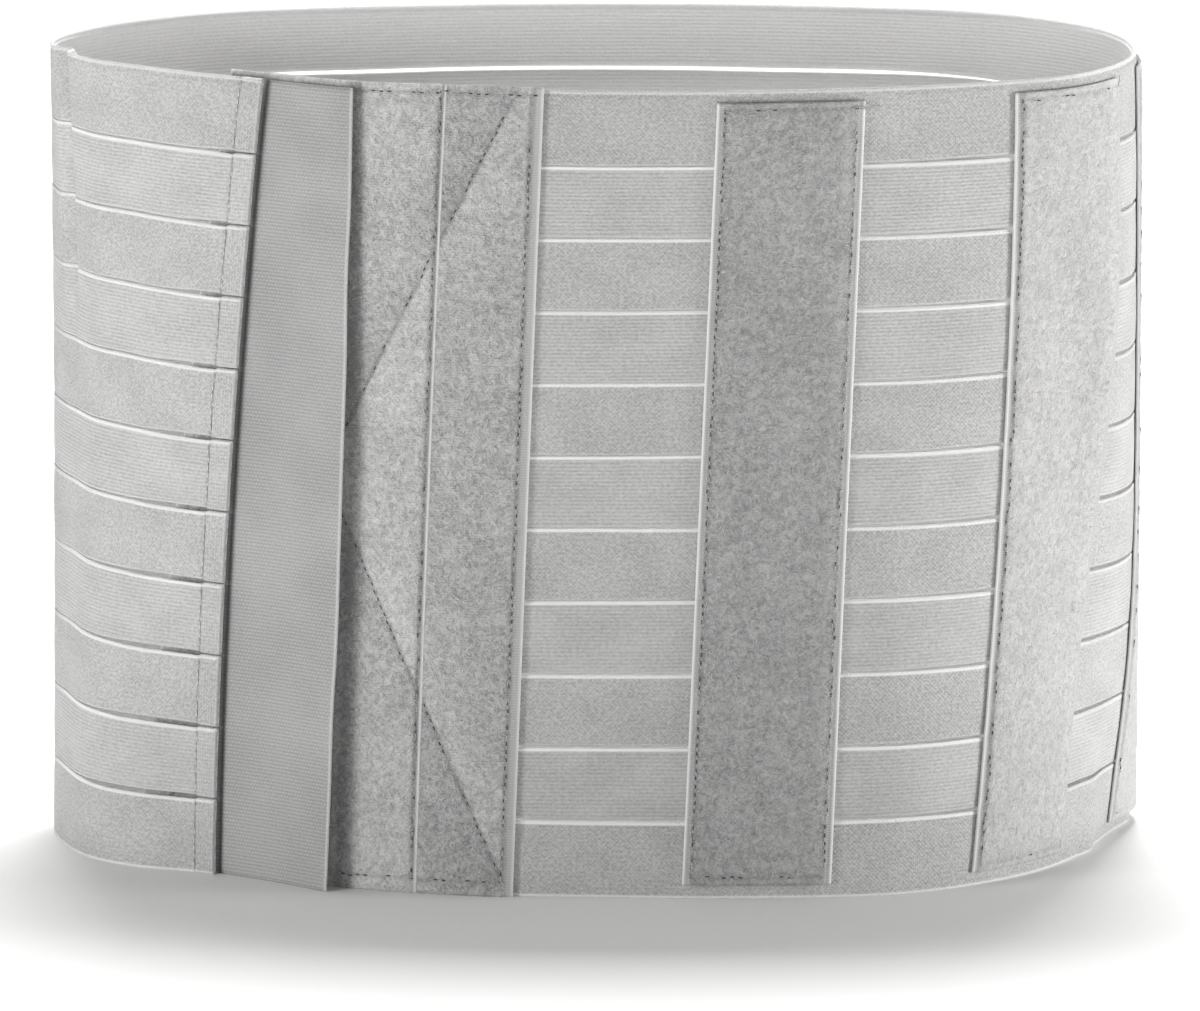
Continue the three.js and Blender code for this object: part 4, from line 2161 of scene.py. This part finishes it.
@dataclass
class Studio:
    """A pale floor under a soft sky, with lights behind and above, at both sides and in front."""

    floor_half: float = 6.0
    floor_tone: float = 0.93
    floor_dark: float = 0.99
    floor_scale: float = 3.0
    floor_roughness: float = 0.9
    floor_gloss: float = 0.1
    sky: float = 0.5
    front_share: float = 0.3
    sky_turn: tuple[float, float] = (-0.6, 0.3)
    boxes: tuple[SoftBox, ...] = (
        SoftBox("back_light", (0.1, 1.25, 2.45), 1.1, 92),
        SoftBox("right_light", (1.6, -0.25, 0.2), 0.4, 18.4),
        SoftBox("left_light", (-1.3, -0.85, 0.31), 0.48, 11.6),
        SoftBox("front_light", (0.05, -3.2, 0.38), 0.6, 15),
    )

    def build(self) -> None:
        """Makes the floor and the light."""
        self._floor()
        self._sky()
        for box in self.boxes:
            box.build()
        view = bpy.context.scene.view_settings
        view.view_transform = "Standard"
        view.look = "None"

    def _floor(self) -> None:
        """Makes the floor."""
        mesh = bpy.data.meshes.new("floor")
        plane = bmesh.new()
        bmesh.ops.create_grid(plane, x_segments=1, y_segments=1, size=self.floor_half)
        plane.to_mesh(mesh)
        plane.free()
        board = Board("floor_paper")
        place = board.node("ShaderNodeTexCoord").outputs["Object"]
        made = board.node("ShaderNodeTexNoise", {}, {"Vector": place, "Scale": self.floor_scale})
        tone = Signal(board, made.outputs["Fac"])
        dark, light = grey(self.floor_tone * self.floor_dark), grey(self.floor_tone)
        inputs = {
            "Base Color": board.blend(tone, dark, light),
            "Roughness": self.floor_roughness,
            "Specular IOR Level": self.floor_gloss,
        }
        shader = board.node("ShaderNodeBsdfPrincipled", {}, inputs)
        board.node("ShaderNodeOutputMaterial", {}, {"Surface": shader.outputs[0]})
        mesh.materials.append(board.material)
        floor = bpy.data.objects.new("floor", mesh)
        bpy.context.scene.collection.objects.link(floor)

    def _sky(self) -> None:
        """Makes the surrounding light, which is dimmer on the camera's side."""
        world = bpy.data.worlds.new("studio")
        bpy.context.scene.world = world
        world.use_nodes = True
        tree = world.node_tree
        tree.nodes.clear()
        place = tree.nodes.new("ShaderNodeTexCoord")
        split = tree.nodes.new("ShaderNodeSeparateXYZ")
        tree.links.new(place.outputs["Generated"], split.inputs[0])
        ramp = tree.nodes.new("ShaderNodeMapRange")
        ramp.interpolation_type = "SMOOTHSTEP"
        ramp.inputs["From Min"].default_value = self.sky_turn[0]
        ramp.inputs["From Max"].default_value = self.sky_turn[1]
        ramp.inputs["To Min"].default_value = self.sky * self.front_share
        ramp.inputs["To Max"].default_value = self.sky
        tree.links.new(split.outputs["Y"], ramp.inputs["Value"])
        light = tree.nodes.new("ShaderNodeBackground")
        tree.links.new(ramp.outputs["Result"], light.inputs["Strength"])
        out = tree.nodes.new("ShaderNodeOutputWorld")
        tree.links.new(light.outputs[0], out.inputs["Surface"])


@dataclass
class PhotoCamera:
    """The long lens of the photograph, from in front and a little above."""

    place: tuple[float, float, float] = (1.435 * MM, -7.09875, 1.3507)
    down: float = math.radians(9.85)
    lens: float = 626.85
    sensor: float = 36.0
    far: float = 100.0

    def build(self) -> None:
        """Makes the camera and gives it to the scene."""
        data = bpy.data.cameras.new("photo_camera")
        data.lens = self.lens
        data.sensor_width = self.sensor
        data.sensor_fit = "HORIZONTAL"
        data.clip_end = self.far
        camera = bpy.data.objects.new("photo_camera", data)
        camera.location = self.place
        camera.rotation_euler = (math.pi / 2 - self.down, 0, 0)
        bpy.context.scene.collection.objects.link(camera)
        bpy.context.scene.camera = camera


def seat(piece: bpy.types.Object, slot: str, *nodes: str) -> None:
    """Rides a piece on the ring, and hides the solids that it stands for.

    Args:
        piece: The piece.
        slot: The name of a material slot; it is not used.
        nodes: The solids that it replaces.
    """
    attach(piece, BODY)
    if nodes:
        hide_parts(*nodes)
    LOG.info("%s rides on the ring", piece.name)


def main() -> None:
    """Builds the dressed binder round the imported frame."""
    logging.basicConfig(level=logging.INFO, format="%(asctime)s %(name)s %(message)s")
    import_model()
    form = RingForm()
    form.seat_on(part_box("loop_patch_1")[0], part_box("elastic_strip_01")[1])
    LOG.info("the form is shifted by %s", tuple(round(value, 6) for value in form.shift))
    PhotoCamera().build()
    Studio().build()

    thread, painted_shade = SEWING_THREAD.material(), STITCH_SHADE.material()
    pale_thread = PALE_THREAD.material()
    stitching = Stitching(form, thread, painted_shade)
    fuzz = Fuzz(form, FIBRE.material())

    band = ElasticBand(form)
    strips = band.build()
    for index, strip in enumerate(strips):
        seat(strip, "elastic", f"elastic_strip_{index + 1:02d}")
    hem_stitching = Stitching(form, pale_thread, thread)
    hem_seam = hem_stitching.sew("hem_seam", band.hem_seams(), band.hem_out, ends=HEM_ENDS)
    seat(hem_seam, "elastic")

    patches = [LoopPatch(form, index, look) for index, look in enumerate(PATCH_LOOKS)]
    tapes = LoopPanel(form).tapes() + [patch.tape() for patch in patches]
    for index, (tape, node) in enumerate(zip(tapes, TAPE_NODES, strict=True)):
        piece = tape.build()
        seat(piece, "loop_pile", node)
        ends = THREAD_ENDS.get(tape.name, ())
        seam = stitching.sew(f"{tape.name}_seam", tape.seams, tape.out, tape.shows, ends)
        fibres = fuzz.grow(tape, FUZZ_SEED + index)
        seat(seam, "loop_pile")
        seat(fibres, "loop_pile")
        tape.flat_size()

    hook_tape = HookTape(form)
    hook = hook_tape.build(HookBackingFinish().material())
    seat(hook, "hook_tape", "hook_tape")
    for strip, level in zip(strips, form.strip_levels(), strict=True):
        band.flat_size(level)


if __name__ == "__main__":
    main()
